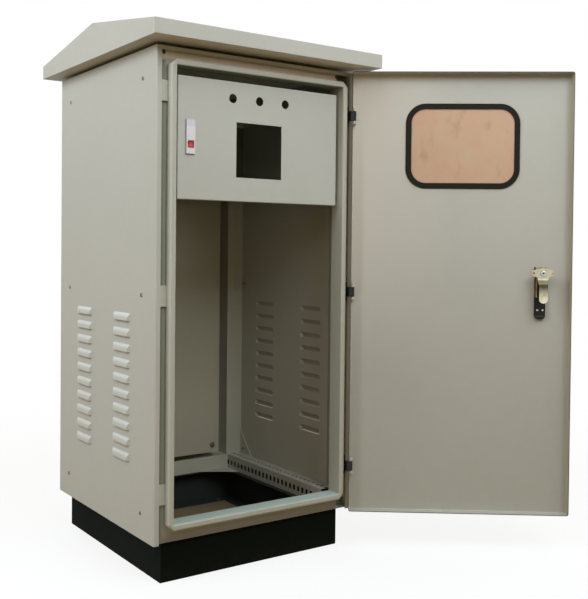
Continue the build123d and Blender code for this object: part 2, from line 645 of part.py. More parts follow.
def rear_screws():
    """Domed screws of the rear panel."""
    screws = []
    for x, z in rear_screw_places():
        shank = rod_y(SCREW_RADIUS, HALF_DEPTH - SCREW_LENGTH / 2, HALF_DEPTH, x, z)
        head = rod_y(SCREW_HEAD_RADIUS, HALF_DEPTH, HALF_DEPTH + SCREW_HEAD_HEIGHT, x, z)
        rim = head.edges().sort_by(Axis.Y)[-1]
        screws.append(shank + fillet(rim, SCREW_HEAD_HEIGHT * 0.7))
    return Compound(screws)


def plate_bolt_places():
    """Places of the four mounting plate bolts, in X and Z."""
    x = PLATE_HALF_WIDTH - PLATE_BOLT_INSET_X
    rows = (PLATE_BOTTOM + PLATE_BOLT_INSET_Z, PLATE_TOP - PLATE_BOLT_INSET_Z)
    return [(side * x, z) for side in (-1, 1) for z in rows]


def mounting_plate():
    """Equipment plate in front of the rear panel, with round corners and side notches."""
    outline = rect(-PLATE_HALF_WIDTH, PLATE_HALF_WIDTH, PLATE_BOTTOM, PLATE_TOP)
    outline = fillet(outline.vertices(), PLATE_CORNER_RADIUS)
    for side in (-1, 1):
        edge = side * (PLATE_HALF_WIDTH - PLATE_NOTCH_DEPTH / 2)
        outline -= Pos(edge, PLATE_NOTCH_Z) * Rectangle(PLATE_NOTCH_DEPTH, PLATE_NOTCH_HEIGHT)
    for x, z in plate_bolt_places():
        outline -= Pos(x, z) * Circle(PLATE_BOLT_RADIUS)
    return along_y(outline, PLATE_FRONT, PLATE_BACK)


def plate_standoffs():
    """Four spacer tubes between the mounting plate and the rear panel."""
    tubes = []
    for x, z in plate_bolt_places():
        tube = rod_y(STANDOFF_RADIUS, PLATE_BACK, REAR_IN, x, z)
        tubes.append(tube - rod_y(PLATE_BOLT_RADIUS, PLATE_BACK, REAR_IN, x, z))
    return Compound(tubes)


def plate_bolts():
    """Four hexagon bolts that hold the mounting plate to its spacers."""
    bolts = []
    for x, z in plate_bolt_places():
        hexagon = Pos(x, z) * RegularPolygon(PLATE_BOLT_HEAD, 6)
        head = along_y(hexagon, PLATE_FRONT - PLATE_BOLT_RADIUS, PLATE_FRONT)
        bolts.append(head + rod_y(PLATE_BOLT_RADIUS, PLATE_FRONT, REAR_IN, x, z))
    return Compound(bolts)


# Cover and roof

def roof_bolt_places():
    """Places of the four roof bolts, in X and Y."""
    return [(x, y) for x in (-SPACER_X, SPACER_X) for y in (-SPACER_Y, SPACER_Y)]


def cover():
    """Body cover between the side panels, with front and rear edges turned down."""
    plate = box(-WALL_IN, WALL_IN, FRONT, HALF_DEPTH, COVER_UNDER, BODY_TOP)
    edge = HALF_WIDTH - SIDE_FLANGE
    for side in (-1, 1):
        outer = side * WALL_IN
        inner = side * edge
        plate -= box(min(outer, inner), max(outer, inner), FRONT, FRONT + SHEET, COVER_UNDER, BODY_TOP)
        plate -= box(min(outer, inner), max(outer, inner), REAR_IN, HALF_DEPTH, COVER_UNDER, BODY_TOP)
        corner = side * (WALL_IN - BEND_RADIUS)
        low_x = min(outer, corner)
        high_x = max(outer, corner)
        plate -= box(low_x, high_x, FRONT, FRONT + BEND_RADIUS, COVER_UNDER, BODY_TOP)
        plate -= box(low_x, high_x, HALF_DEPTH - BEND_RADIUS, HALF_DEPTH,
                     COVER_UNDER, BODY_TOP)
    plate += box(-edge, edge, FRONT, FRONT + SHEET, BODY_TOP - COVER_DROP, COVER_UNDER)
    plate += box(-edge, edge, REAR_IN, HALF_DEPTH, BODY_TOP - COVER_DROP, COVER_UNDER)
    for x, y in roof_bolt_places():
        plate -= rod_z(ROOF_BOLT_RADIUS, COVER_UNDER, BODY_TOP, x, y)
    return plate


def gable(inset, low):
    """Gabled prism of the roof, cut back by an inset."""
    eave = ROOF_UNDERSIDE + FASCIA_HEIGHT
    ridge = ROOF_UNDERSIDE + RIDGE_RISE
    outline = Polyline((ROOF_FRONT + inset, low), (ROOF_FRONT + inset, eave - inset),
                       (RIDGE_Y, ridge - inset), (ROOF_REAR - inset, eave - inset),
                       (ROOF_REAR - inset, low), close=True)
    return along_x(make_face(outline), -ROOF_HALF + inset, ROOF_HALF - inset)


def roof():
    """Gabled canopy of one folded sheet, with its edges turned down all round."""
    return gable(0, ROOF_UNDERSIDE) - gable(SHEET, ROOF_UNDERSIDE)


def roof_soffit():
    """Flat sheet that closes the roof from below."""
    plate = box(-ROOF_HALF + SHEET, ROOF_HALF - SHEET, ROOF_FRONT + SHEET, ROOF_REAR - SHEET,
                ROOF_UNDERSIDE, ROOF_UNDERSIDE + SHEET)
    for x, y in roof_bolt_places():
        plate -= rod_z(ROOF_BOLT_RADIUS, ROOF_UNDERSIDE, ROOF_UNDERSIDE + SHEET, x, y)
    return plate


def roof_spacers():
    """Four spacers that hold the roof clear of the cover."""
    spacers = []
    for x, y in roof_bolt_places():
        ring = rod_z(SPACER_RADIUS, BODY_TOP, ROOF_UNDERSIDE, x, y)
        spacers.append(ring - rod_z(ROOF_BOLT_RADIUS, BODY_TOP, ROOF_UNDERSIDE, x, y))
    return Compound(spacers)


def roof_bolts():
    """Four hexagon bolts through the cover, spacers and soffit."""
    bolts = []
    for x, y in roof_bolt_places():
        head = along_z(Pos(x, y) * RegularPolygon(ROOF_BOLT_HEAD_RADIUS, 6),
                       COVER_UNDER - ROOF_BOLT_HEAD, COVER_UNDER)
        tip = ROOF_UNDERSIDE + SHEET + ROOF_BOLT_END
        bolts.append(head + rod_z(ROOF_BOLT_RADIUS, COVER_UNDER, tip, x, y))
    return Compound(bolts)


# Instrument panel and isolator

def instrument_panel():
    """Folded panel behind the lip, with a meter cut-out, lamp holes and an isolator slot."""
    panel = box(PANEL_LEFT, PANEL_RIGHT, PANEL_FRONT, PANEL_BACK, PANEL_LOW, PANEL_HIGH)
    front_edges = panel.faces().sort_by(Axis.Y)[0].edges()
    panel = fillet(front_edges, PANEL_EDGE_ROUND)
    panel -= box(PANEL_LEFT + SHEET, PANEL_RIGHT - SHEET, PANEL_FRONT + SHEET, PANEL_BACK,
                 PANEL_LOW + SHEET, PANEL_HIGH - SHEET)
    half = METER_CUTOUT / 2
    panel -= box(INSTRUMENT_CENTRE - half, INSTRUMENT_CENTRE + half, PANEL_FRONT, PANEL_FRONT + SHEET,
                 METER_LOW, METER_LOW + METER_CUTOUT)
    for index in (-1, 0, 1):
        x = INSTRUMENT_CENTRE + index * LAMP_PITCH
        panel -= rod_y(LAMP_RADIUS, PANEL_FRONT, PANEL_FRONT + SHEET, x, LAMP_Z)
    slot_half = SWITCH_WIDTH / 2 + SWITCH_CUTOUT_GAP
    return panel - box(SWITCH_CENTRE - slot_half, SWITCH_CENTRE + slot_half, PANEL_FRONT, PANEL_FRONT + SHEET,
                       SWITCH_LOW - SWITCH_CUTOUT_GAP, SWITCH_LOW + SWITCH_HEIGHT + SWITCH_CUTOUT_GAP)


def panel_bracket(side, z):
    """Strip from the inner return of the frame to the back of the instrument panel."""
    wall = side * LIP_INNER_HALF
    edge = PANEL_RIGHT if side > 0 else PANEL_LEFT
    lap = edge - side * PANEL_BRACKET_LAP
    half = PANEL_BRACKET_HEIGHT / 2
    return box(min(wall, lap), max(wall, lap), PANEL_BACK, PANEL_BACK + SHEET, z - half, z + half)


def switch_rail():
    """Short top-hat rail strip behind the panel that carries the isolator."""
    back = PANEL_FRONT - SWITCH_PROUD + SWITCH_DEPTH
    middle = SWITCH_LOW + SWITCH_HEIGHT / 2
    half = SWITCH_WIDTH
    rail_half = SWITCH_RAIL_HALF_HEIGHT
    low = middle - rail_half
    high = middle + rail_half
    left = SWITCH_CENTRE - half
    right = SWITCH_CENTRE + half
    strip = box(left, right, back, back + SHEET, low, high)
    strip += box(left, left + SHEET, PANEL_FRONT + SHEET, back + SHEET, low, high)
    return strip + box(right - SHEET, right, PANEL_FRONT + SHEET, back + SHEET, low, high)


def toggle_centre():
    """Place of the toggle pivot in Y and Z."""
    return PANEL_FRONT - SWITCH_PROUD + TOGGLE_SINK, SWITCH_LOW + TOGGLE_RAISE


def switch_body():
    """White isolator housing with a set-back upper part and a pocket for the toggle."""
    half = SWITCH_WIDTH / 2
    front = PANEL_FRONT - SWITCH_PROUD
    back = front + SWITCH_DEPTH
    top = SWITCH_LOW + SWITCH_HEIGHT
    y, z = toggle_centre()
    left = SWITCH_CENTRE - half
    right = SWITCH_CENTRE + half
    body = box(left, right, front, back, SWITCH_LOW, top)
    body -= box(left, right, front, front + SWITCH_STEP, top - SWITCH_SHOULDER, top)
    pocket_half = TOGGLE_WIDTH / 2 + TOGGLE_GAP
    corner_angle = atan2(TOGGLE_HALF, TOGGLE_EDGE) + radians(TOGGLE_REST_ANGLE)
    pocket_high = hypot(TOGGLE_EDGE, TOGGLE_HALF) * sin(corner_angle) + TOGGLE_GAP
    return body - box(SWITCH_CENTRE - pocket_half, SWITCH_CENTRE + pocket_half, front,
                      y + TOGGLE_HUB_RADIUS + TOGGLE_GAP, z - pocket_high, z + pocket_high)


def switch_toggle():
    """Red rocking toggle with a dished face, resting with its lower half pressed in."""
    y, z = toggle_centre()
    half = TOGGLE_WIDTH / 2
    outline = Polyline((-TOGGLE_EDGE, TOGGLE_HALF), (-TOGGLE_MIDDLE, 0), (-TOGGLE_EDGE, -TOGGLE_HALF),
                       (-TOGGLE_HUB_RADIUS, -TOGGLE_HALF), (0, -TOGGLE_HUB_RADIUS), (0, TOGGLE_HUB_RADIUS),
                       (-TOGGLE_HUB_RADIUS, TOGGLE_HALF), close=True)
    rocker = make_face(outline) + Circle(TOGGLE_HUB_RADIUS)
    rocker = Pos(y, z) * Rot(0, 0, TOGGLE_REST_ANGLE) * rocker
    return along_x(rocker, SWITCH_CENTRE - half, SWITCH_CENTRE + half)


# Door, window and hinges, drawn closed

def window_outline(inset):
    """Rounded outline of the window, cut back by an inset."""
    return Pos(INSTRUMENT_CENTRE, WINDOW_CENTRE_Z) * RectangleRounded(
        WINDOW_WIDTH - 2 * inset, WINDOW_HEIGHT - 2 * inset, WINDOW_CORNER - inset)


def lock_outline(half, above, below):
    """Upright oblong around the lock axis."""
    middle = LOCK_Z + (above - below) / 2
    return Pos(LOCK_X, middle) * RectangleRounded(2 * half, above + below, half - 0.01)


def door_pan():
    """Door sheet folded back along all four edges, with window, lock and hinge cut-outs."""
    pan = box(-DOOR_HALF, DOOR_HALF, DOOR_FACE, DOOR_RIM, DOOR_BOTTOM, DOOR_TOP)
    pan = fillet(pan.edges().filter_by(Axis.Y), DOOR_CORNER)
    pan = fillet(pan.faces().sort_by(Axis.Y)[0].edges(), DOOR_BEND)
    hollow = box(-DOOR_HALF + SHEET, DOOR_HALF - SHEET, DOOR_INSIDE, DOOR_RIM,
                 DOOR_BOTTOM + SHEET, DOOR_TOP - SHEET)
    hollow = fillet(hollow.edges().filter_by(Axis.Y), DOOR_CORNER - SHEET)
    hollow = fillet(hollow.faces().sort_by(Axis.Y)[0].edges(), DOOR_BEND - SHEET)
    pan -= hollow
    pan -= along_y(window_outline(GASKET_GRIP), DOOR_FACE, DOOR_INSIDE)
    cutout_half = LOCK_CUTOUT_WIDTH / 2
    trim = (LOCK_BASE_WIDTH - LOCK_CUTOUT_WIDTH) / 2
    pan -= along_y(lock_outline(cutout_half, LOCK_BOSS_ABOVE, LOCK_BASE_BELOW - trim),
                   DOOR_FACE, DOOR_INSIDE)
    notch_half = HINGE_BARREL_HEIGHT / 2 + HINGE_NOTCH_GAP
    for z in HINGE_HEIGHTS:
        pan -= box(DOOR_HALF - SHEET, DOOR_HALF, DOOR_RIM - HINGE_NOTCH_DEPTH, DOOR_RIM,
                   z - notch_half, z + notch_half)
    return pan


def window_gasket():
    """Rubber ring that grips the door sheet outside and the pane inside."""
    middle = (DOOR_FACE + DOOR_INSIDE) / 2
    y0 = middle - GASKET_THICK / 2
    y1 = middle + GASKET_THICK / 2
    ring = along_y(window_outline(0), y0, y1)
    ring = fillet(ring.faces().sort_by(Axis.Y)[0].edges() + ring.faces().sort_by(Axis.Y)[-1].edges(),
                  GASKET_ROUND)
    hole = along_y(window_outline(GASKET_FACE), y0, y1)
    ring -= hole
    ring -= along_y(window_outline(0) - window_outline(GASKET_GRIP), DOOR_FACE, DOOR_INSIDE)
    return ring - along_y(window_outline(GASKET_FACE - GASKET_GRIP + PANE_GAP),
                          middle - PANE_THICK / 2, middle + PANE_THICK / 2)


def window_pane():
    """Clear sheet held in the gasket."""
    middle = (DOOR_FACE + DOOR_INSIDE) / 2
    return along_y(window_outline(GASKET_FACE - GASKET_GRIP + PANE_GAP),
                   middle - PANE_THICK / 2, middle + PANE_THICK / 2)


def hinge_bracket(z):
    """Die-cast hinge half on the gutter floor: base, forward arm and barrel."""
    half = HINGE_BARREL_HEIGHT / 2
    edge = HALF_WIDTH - SIDE_FLANGE - HINGE_BASE_GAP
    base_front = GUTTER_FRONT - HINGE_BASE_THICK
    arm_out = PIN_X - HINGE_ARM_SETBACK
    arm_in = arm_out - HINGE_ARM_THICK
    base = box(LIP_OUTER_HALF + HINGE_BASE_GAP, edge, base_front, GUTTER_FRONT,
               z - HINGE_BASE_HEIGHT / 2, z + HINGE_BASE_HEIGHT / 2)
    arm = box(arm_in, arm_out, PIN_Y - HINGE_BARREL_RADIUS, base_front, z - half, z + half)
    bridge = box(arm_out, PIN_X, PIN_Y - HINGE_BARREL_RADIUS, PIN_Y + HINGE_BARREL_RADIUS, z - half, z + half)
    barrel = rod_z(HINGE_BARREL_RADIUS, z - half, z + half, PIN_X, PIN_Y)
    arm = fillet(upright_edges(arm, arm_in, PIN_Y - HINGE_BARREL_RADIUS), HINGE_ARM_THICK / 2)
    bore = rod_z(HINGE_PIN_RADIUS + HINGE_BORE_GAP, z - half, z + half, PIN_X, PIN_Y)
    return base + arm + bridge + barrel - bore


def hinge_lugs(z):
    """Two lugs welded into the door pan, above and below the barrel."""
    lugs = []
    near = HINGE_BARREL_HEIGHT / 2 + HINGE_LUG_GAP
    for side in (-1, 1):
        low = z + min(side * near, side * (near + HINGE_LUG_HEIGHT))
        high = low + HINGE_LUG_HEIGHT
        lug = box(PIN_X - HINGE_BARREL_RADIUS, DOOR_HALF - SHEET, DOOR_INSIDE, PIN_Y, low, high)
        lug -= box(DOOR_HALF - DOOR_BEND, DOOR_HALF, DOOR_INSIDE, DOOR_INSIDE + DOOR_BEND - SHEET, low, high)
        lug += rod_z(HINGE_BARREL_RADIUS, low, high, PIN_X, PIN_Y) & box(
            PIN_X - HINGE_BARREL_RADIUS, DOOR_HALF - SHEET, DOOR_INSIDE, DOOR_RIM, low, high)
        lugs.append(lug - rod_z(HINGE_PIN_RADIUS, low, high, PIN_X, PIN_Y))
    return Compound(lugs)


def hinge_pin(z):
    """Steel pin with a head on the upper lug."""
    reach = HINGE_BARREL_HEIGHT / 2 + HINGE_LUG_GAP + HINGE_LUG_HEIGHT
    pin = rod_z(HINGE_PIN_RADIUS, z - reach, z + reach, PIN_X, PIN_Y)
    return pin + rod_z(HINGE_PIN_HEAD_RADIUS, z + reach, z + reach + HINGE_PIN_HEAD, PIN_X, PIN_Y)


# Lock, drawn closed, with the cam pointing down and the handle turned to the hinge side

def lock_base():
    """Outer plate of the lock, with a boss through the door."""
    plate = along_y(lock_outline(LOCK_BASE_WIDTH / 2, LOCK_BASE_ABOVE, LOCK_BASE_BELOW),
                    LOCK_BASE_FACE, DOOR_FACE)
    plate = chamfer(plate.faces().sort_by(Axis.Y)[0].edges(), 1.5)
    trim = (LOCK_BASE_WIDTH - LOCK_CUTOUT_WIDTH) / 2 + LOCK_FIT_GAP
    boss = along_y(lock_outline(LOCK_CUTOUT_WIDTH / 2 - LOCK_FIT_GAP, LOCK_BOSS_ABOVE - LOCK_FIT_GAP,
                                LOCK_BASE_BELOW - trim), DOOR_FACE, DOOR_INSIDE)
    return plate + boss - rod_y(SPINDLE_RADIUS + SPINDLE_GAP, LOCK_BASE_FACE, DOOR_INSIDE, LOCK_X, LOCK_Z)


def lock_housing():
    """Black rear housing below the lock bracket, with a round lower end."""
    half = HOUSING_WIDTH / 2
    outline = Pos(LOCK_X, LOCK_Z + (HOUSING_TOP + HOUSING_BOTTOM) / 2) * Rectangle(
        HOUSING_WIDTH, HOUSING_TOP - HOUSING_BOTTOM)
    outline = fillet(outline.vertices().sort_by(Axis.Y)[:2], half * 0.72)
    body = along_y(outline, DOOR_INSIDE, DOOR_INSIDE + HOUSING_PROUD)
    rim = body.faces().sort_by(Axis.Y)[-1].edges()
    body = chamfer(rim.filter_by(lambda e: e.center().Z < LOCK_Z + HOUSING_TOP - 1), 1.5)
    for side in (-1, 1):
        body -= rod_y(HOUSING_SCREW_RADIUS, DOOR_INSIDE + HOUSING_PROUD - 3, DOOR_INSIDE + HOUSING_PROUD,
                      LOCK_X + side * HOUSING_SCREW_HALF, LOCK_Z + HOUSING_SCREW_Z)
    return body


def housing_screws():
    """Two screws in the rear housing."""
    top = DOOR_INSIDE + HOUSING_PROUD
    return Compound([rod_y(HOUSING_SCREW_RADIUS, top - 3, top - 0.5, LOCK_X + side * HOUSING_SCREW_HALF,
                           LOCK_Z + HOUSING_SCREW_Z) for side in (-1, 1)])


def lock_bracket():
    """Plated channel that clamps the lock to the door, slotted below the spindle."""
    half = BRACKET_WIDTH / 2
    low = LOCK_Z + HOUSING_TOP
    high = LOCK_Z + BRACKET_TOP
    top = DOOR_INSIDE + BRACKET_PROUD
    bracket = box(LOCK_X - half, LOCK_X + half, DOOR_INSIDE, top, low, high)
    bracket -= box(LOCK_X - half + BRACKET_SHEET, LOCK_X + half - BRACKET_SHEET, DOOR_INSIDE,
                   top - BRACKET_SHEET, low, high)
    bracket -= box(LOCK_X - BRACKET_SLOT_HALF, LOCK_X + BRACKET_SLOT_HALF, top - BRACKET_SHEET, top,
                   low, LOCK_Z + BRACKET_SLOT_TOP)
    notch_top = LOCK_Z + BRACKET_NOTCH_TOP
    for outer in (LOCK_X - half, LOCK_X + half - BRACKET_NOTCH_DEPTH):
        bracket -= box(outer, outer + BRACKET_NOTCH_DEPTH, DOOR_INSIDE, top,
                       notch_top - BRACKET_NOTCH_HEIGHT, notch_top)
    return bracket - rod_y(SPINDLE_RADIUS + SPINDLE_GAP, DOOR_INSIDE, top, LOCK_X, LOCK_Z)


def lock_spindle():
    """Spindle between the handle hub and the cam."""
    return rod_y(SPINDLE_RADIUS, HUB_BACK, CAM_FRONT, LOCK_X, LOCK_Z)


def lock_cam():
    """Stamped cam: two rod arms with end holes, a neck, a joggle and a long tongue."""
    arm_x = CAM_ARM_HALF - CAM_ARM_END_RADIUS
    arms = make_hull([Pos(-arm_x, 0) * Circle(CAM_ARM_END_RADIUS).edge(),
                      Pos(arm_x, 0) * Circle(CAM_ARM_END_RADIUS).edge(),
                      Circle(CAM_HUB_RADIUS).edge()])
    shoulder = CAM_NECK_HALF + CAM_NECK_SPREAD
    neck = make_face(Polyline((-shoulder, 0), (shoulder, 0), (CAM_NECK_HALF, CAM_NECK_Z),
                              (CAM_NECK_HALF, CAM_NECK_Z - CAM_JOGGLE_LENGTH),
                              (-CAM_NECK_HALF, CAM_NECK_Z - CAM_JOGGLE_LENGTH),
                              (-CAM_NECK_HALF, CAM_NECK_Z), close=True))
    tip = -TONGUE_LENGTH + TONGUE_HALF
    tongue = rect(-TONGUE_HALF, TONGUE_HALF, tip, CAM_NECK_Z)
    outline = arms + neck + tongue + Pos(0, tip) * Circle(TONGUE_HALF)
    for side in (-1, 1):
        outline -= Pos(side * arm_x, 0) * Circle(CAM_HOLE_RADIUS)
    bend = CAM_NECK_Z - CAM_JOGGLE_LENGTH
    crown = CAM_HUB_RADIUS + 5
    profile = Polyline((CAM_FRONT, crown), (CAM_BACK, crown), (CAM_BACK, CAM_NECK_Z),
                       (CAM_BACK + CAM_JOGGLE, bend), (CAM_BACK + CAM_JOGGLE, -TONGUE_LENGTH - 5),
                       (CAM_FRONT + CAM_JOGGLE, -TONGUE_LENGTH - 5), (CAM_FRONT + CAM_JOGGLE, bend - 1),
                       (CAM_FRONT, CAM_NECK_Z - 1), close=True)
    side_view = along_x(make_face(profile), -CAM_ARM_HALF - 5, CAM_ARM_HALF + 5)
    front_view = along_y(outline, CAM_FRONT, CAM_BACK + CAM_JOGGLE)
    return Pos(LOCK_X, 0, LOCK_Z) * (side_view & front_view)


def cam_screw():
    """Screw with a broad head that holds the cam to its spindle."""
    head = rod_y(CAM_SCREW_RADIUS, CAM_BACK, CAM_BACK + CAM_SCREW_HEIGHT, LOCK_X, LOCK_Z)
    head = fillet(head.edges().sort_by(Axis.Y)[-1], CAM_SCREW_HEIGHT / 2)
    socket = along_y(Pos(LOCK_X, LOCK_Z) * RegularPolygon(CAM_SCREW_RADIUS * 0.4, 6),
                     CAM_BACK + CAM_SCREW_HEIGHT / 2, CAM_BACK + CAM_SCREW_HEIGHT)
    return head - socket


def handle_hub():
    """Turning hub outside the door, with two ears for the handle pin."""
    hub = rod_y(HUB_RADIUS, HUB_FRONT, HUB_BACK, LOCK_X, LOCK_Z)
    axis_x = LOCK_X + HANDLE_AXIS_OUT
    inner = HANDLE_ROOT_WIDTH / 2 + HANDLE_SIDE_GAP
    outer = inner + HANDLE_EAR_THICK
    for side in (-1, 1):
        low = LOCK_Z + min(side * inner, side * outer)
        high = low + HANDLE_EAR_THICK
        ear = rod_z(HANDLE_EAR_RADIUS, low, high, axis_x, HANDLE_AXIS_Y)
        ear_left = axis_x - HANDLE_EAR_RADIUS
        ear += box(ear_left, ear_left + 2 * HANDLE_EAR_RADIUS, HANDLE_AXIS_Y, HUB_FRONT, low, high)
        hub += ear & rod_y(HUB_RADIUS + HANDLE_EAR_RADIUS, HANDLE_AXIS_Y - HANDLE_EAR_RADIUS, HUB_BACK,
                           LOCK_X, LOCK_Z)
        hub += box(LOCK_X, axis_x + HANDLE_EAR_RADIUS, HUB_FRONT, HUB_BACK, low, high)
    return hub - rod_z(HANDLE_PIN_RADIUS, LOCK_Z - outer, LOCK_Z + outer, axis_x, HANDLE_AXIS_Y)


def handle_pin():
    """Pin through the hub ears and the handle root."""
    outer = HANDLE_ROOT_WIDTH / 2 + HANDLE_SIDE_GAP + HANDLE_EAR_THICK
    return rod_z(HANDLE_PIN_RADIUS, LOCK_Z - outer, LOCK_Z + outer, LOCK_X + HANDLE_AXIS_OUT, HANDLE_AXIS_Y)


def handle_to_rest():
    """Swing from the folded handle to the lifted rest position."""
    axis_x = LOCK_X + HANDLE_AXIS_OUT
    return Pos(axis_x, HANDLE_AXIS_Y) * Rot(0, 0, -HANDLE_LIFT_ANGLE) * Pos(-axis_x, -HANDLE_AXIS_Y)


def handle_lever():
    """Lever with a narrow root and a broad rounded grip, lifted off the lock plate."""
    axis_x = LOCK_X + HANDLE_AXIS_OUT
    end = axis_x + HANDLE_LENGTH
    root = HANDLE_ROOT_WIDTH / 2
    grip = HANDLE_GRIP_WIDTH / 2
    shoulder = axis_x + HANDLE_EAR_RADIUS + 4
    outline = Polyline((axis_x, -root), (shoulder, -root), (shoulder + 10, -grip), (end, -grip), (end, grip),
                       (shoulder + 10, grip), (shoulder, root), (axis_x, root), close=True)
    outline = make_face(outline)
    ends = outline.vertices().sort_by(Axis.X)[-2:]
    outline = fillet(ends, grip - 1)
    underside = HANDLE_AXIS_Y + HANDLE_EAR_RADIUS - 1
    lever = along_y(Pos(0, LOCK_Z) * outline, underside - HANDLE_THICK, underside)
    lever = chamfer(lever.faces().sort_by(Axis.Y)[0].edges().filter_by(
        lambda e: e.center().X > shoulder + 5), 2.0)
    lever += rod_z(HANDLE_EAR_RADIUS - 1, LOCK_Z - root, LOCK_Z + root, axis_x, HANDLE_AXIS_Y)
    lever -= rod_z(HANDLE_PIN_RADIUS + HANDLE_PIN_GAP, LOCK_Z - root, LOCK_Z + root, axis_x, HANDLE_AXIS_Y)
    lever -= rod_y(CYLINDER_RADIUS, underside - HANDLE_THICK, underside, end - CYLINDER_FROM_END, LOCK_Z)
    return handle_to_rest() * lever


def lock_cylinder():
    """Key cylinder in the end of the lever."""
    x = LOCK_X + HANDLE_AXIS_OUT + HANDLE_LENGTH - CYLINDER_FROM_END
    underside = HANDLE_AXIS_Y + HANDLE_EAR_RADIUS - 1
    front = underside - HANDLE_THICK - CYLINDER_PROUD
    cylinder = rod_y(CYLINDER_RADIUS, front, underside, x, LOCK_Z)
    cylinder -= box(x - KEYWAY_WIDTH / 2, x + KEYWAY_WIDTH / 2, front, front + 4,
                    LOCK_Z - KEYWAY_HEIGHT / 2, LOCK_Z + KEYWAY_HEIGHT / 2)
    return handle_to_rest() * cylinder


# Every node by name

def cabinet_nodes():
    """All pieces that stay with the cabinet body."""
    left_panel = side_panel()
    left_screws = side_screws()
    post = rear_post()
    rail = side_rail()
    end = plinth_end()
    channel = plinth_side()
    rear_gusset = floor_gusset(POST_FRONT, -1)
    front_gusset = floor_gusset(FRAME_BOTTOM_BACK, 1)
    gusset = wall_gusset()
    nodes = {
        "plinth_front": end,
        "plinth_rear": mirror(end, about=Plane.XZ),
        "plinth_left": channel,
        "plinth_right": mirrored(channel),
        "side_panel_left": left_panel,
        "side_panel_right": mirrored(left_panel),
        "side_screws_left": left_screws,
        "side_screws_right": mirrored(left_screws),
        "front_frame": front_frame(),
        "rear_post_right": post,
        "rear_post_left": mirrored(post),
        "rear_rail_lower": rear_rail(PLINTH_HEIGHT, RAIL_TOP),
        "rear_rail_upper": rear_rail(COVER_UNDER - RAIL_HEIGHT, COVER_UNDER),
        "base_rail_right": rail,
        "base_rail_left": mirrored(rail),
        "floor_gussets": Compound([rear_gusset, mirrored(rear_gusset), front_gusset, mirrored(front_gusset)]),
        "wall_gussets": Compound([gusset, mirrored(gusset)]),
        "rear_panel": rear_panel(),
        "rear_screws": rear_screws(),
        "mounting_plate": mounting_plate(),
        "plate_standoffs": plate_standoffs(),
        "plate_bolts": plate_bolts(),
        "cover": cover(),
        "roof": roof(),
        "roof_soffit": roof_soffit(),
        "roof_spacers": roof_spacers(),
        "roof_bolts": roof_bolts(),
        "instrument_panel": instrument_panel(),
        "switch_rail": switch_rail(),
        "switch_body": switch_body(),
    }
    brackets = [wall_bracket(z) for z in SCREW_HEIGHTS[1:]]
    nodes["wall_brackets"] = Compound(brackets + [mirrored(b) for b in brackets])
    heights = (PANEL_LOW + PANEL_BRACKET_INSET, PANEL_HIGH - PANEL_BRACKET_INSET)
    nodes["panel_brackets"] = Compound([panel_bracket(side, z) for side in (-1, 1) for z in heights])
    for number, z in enumerate(BLANK_HEIGHTS, 1):
        nodes[f"blank_plate_{number}"] = blank_plate(z)
    for number, z in enumerate(HINGE_HEIGHTS, 1):
        nodes[f"hinge_bracket_{number}"] = hinge_bracket(z)
    return nodes


def door_nodes():
    """All pieces that swing with the door, in the open rest position."""
    closed = {
        "door_pan": door_pan(),
        "window_gasket": window_gasket(),
        "window_pane": window_pane(),
        "lock_base": lock_base(),
        "lock_housing": lock_housing(),
        "housing_screws": housing_screws(),
        "lock_bracket": lock_bracket(),
        "lock_spindle": lock_spindle(),
        "lock_cam": lock_cam(),
        "cam_screw": cam_screw(),
        "handle_hub": handle_hub(),
        "handle_pin": handle_pin(),
        "handle_lever": handle_lever(),
        "lock_cylinder": lock_cylinder(),
    }
    for number, z in enumerate(HINGE_HEIGHTS, 1):
        closed[f"hinge_lugs_{number}"] = hinge_lugs(z)
        closed[f"hinge_pin_{number}"] = hinge_pin(z)
    return {name: DOOR_TO_REST * part for name, part in closed.items()}


os.makedirs("parts", exist_ok=True)
nodes = {**cabinet_nodes(), "switch_toggle": switch_toggle(), **door_nodes()}
for name, part in nodes.items():
    export_step(part, f"parts/{name}.step")
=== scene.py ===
import json
import logging
import math
from dataclasses import dataclass, field
from enum import Enum
from typing import Iterable, Optional, Sequence

import bpy
from mathutils import Matrix, Vector


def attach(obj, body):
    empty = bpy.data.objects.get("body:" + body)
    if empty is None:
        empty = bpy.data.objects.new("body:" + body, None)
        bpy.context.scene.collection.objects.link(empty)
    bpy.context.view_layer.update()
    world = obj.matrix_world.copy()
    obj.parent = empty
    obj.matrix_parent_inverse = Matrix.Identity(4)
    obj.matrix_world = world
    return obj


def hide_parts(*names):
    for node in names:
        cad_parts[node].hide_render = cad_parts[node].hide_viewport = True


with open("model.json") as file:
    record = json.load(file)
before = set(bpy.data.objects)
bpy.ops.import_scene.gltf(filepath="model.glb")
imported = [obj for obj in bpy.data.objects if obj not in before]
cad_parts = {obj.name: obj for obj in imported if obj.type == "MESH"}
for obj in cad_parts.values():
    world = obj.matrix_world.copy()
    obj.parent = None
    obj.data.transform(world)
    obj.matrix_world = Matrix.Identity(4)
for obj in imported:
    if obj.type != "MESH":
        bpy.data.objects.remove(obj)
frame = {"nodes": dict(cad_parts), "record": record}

LOG = logging.getLogger("cabinet")
BEVEL_SAMPLES = 4

Socket = bpy.types.NodeSocket
Node = bpy.types.Node
Tree = bpy.types.NodeTree
Material = bpy.types.Material
Number = Socket | float
Shade = Socket | tuple[float, ...]
Axis = tuple[float, float, float]
Point = tuple[float, float, float]
Colour = tuple[int, int, int]
Light = tuple[float, float, float]


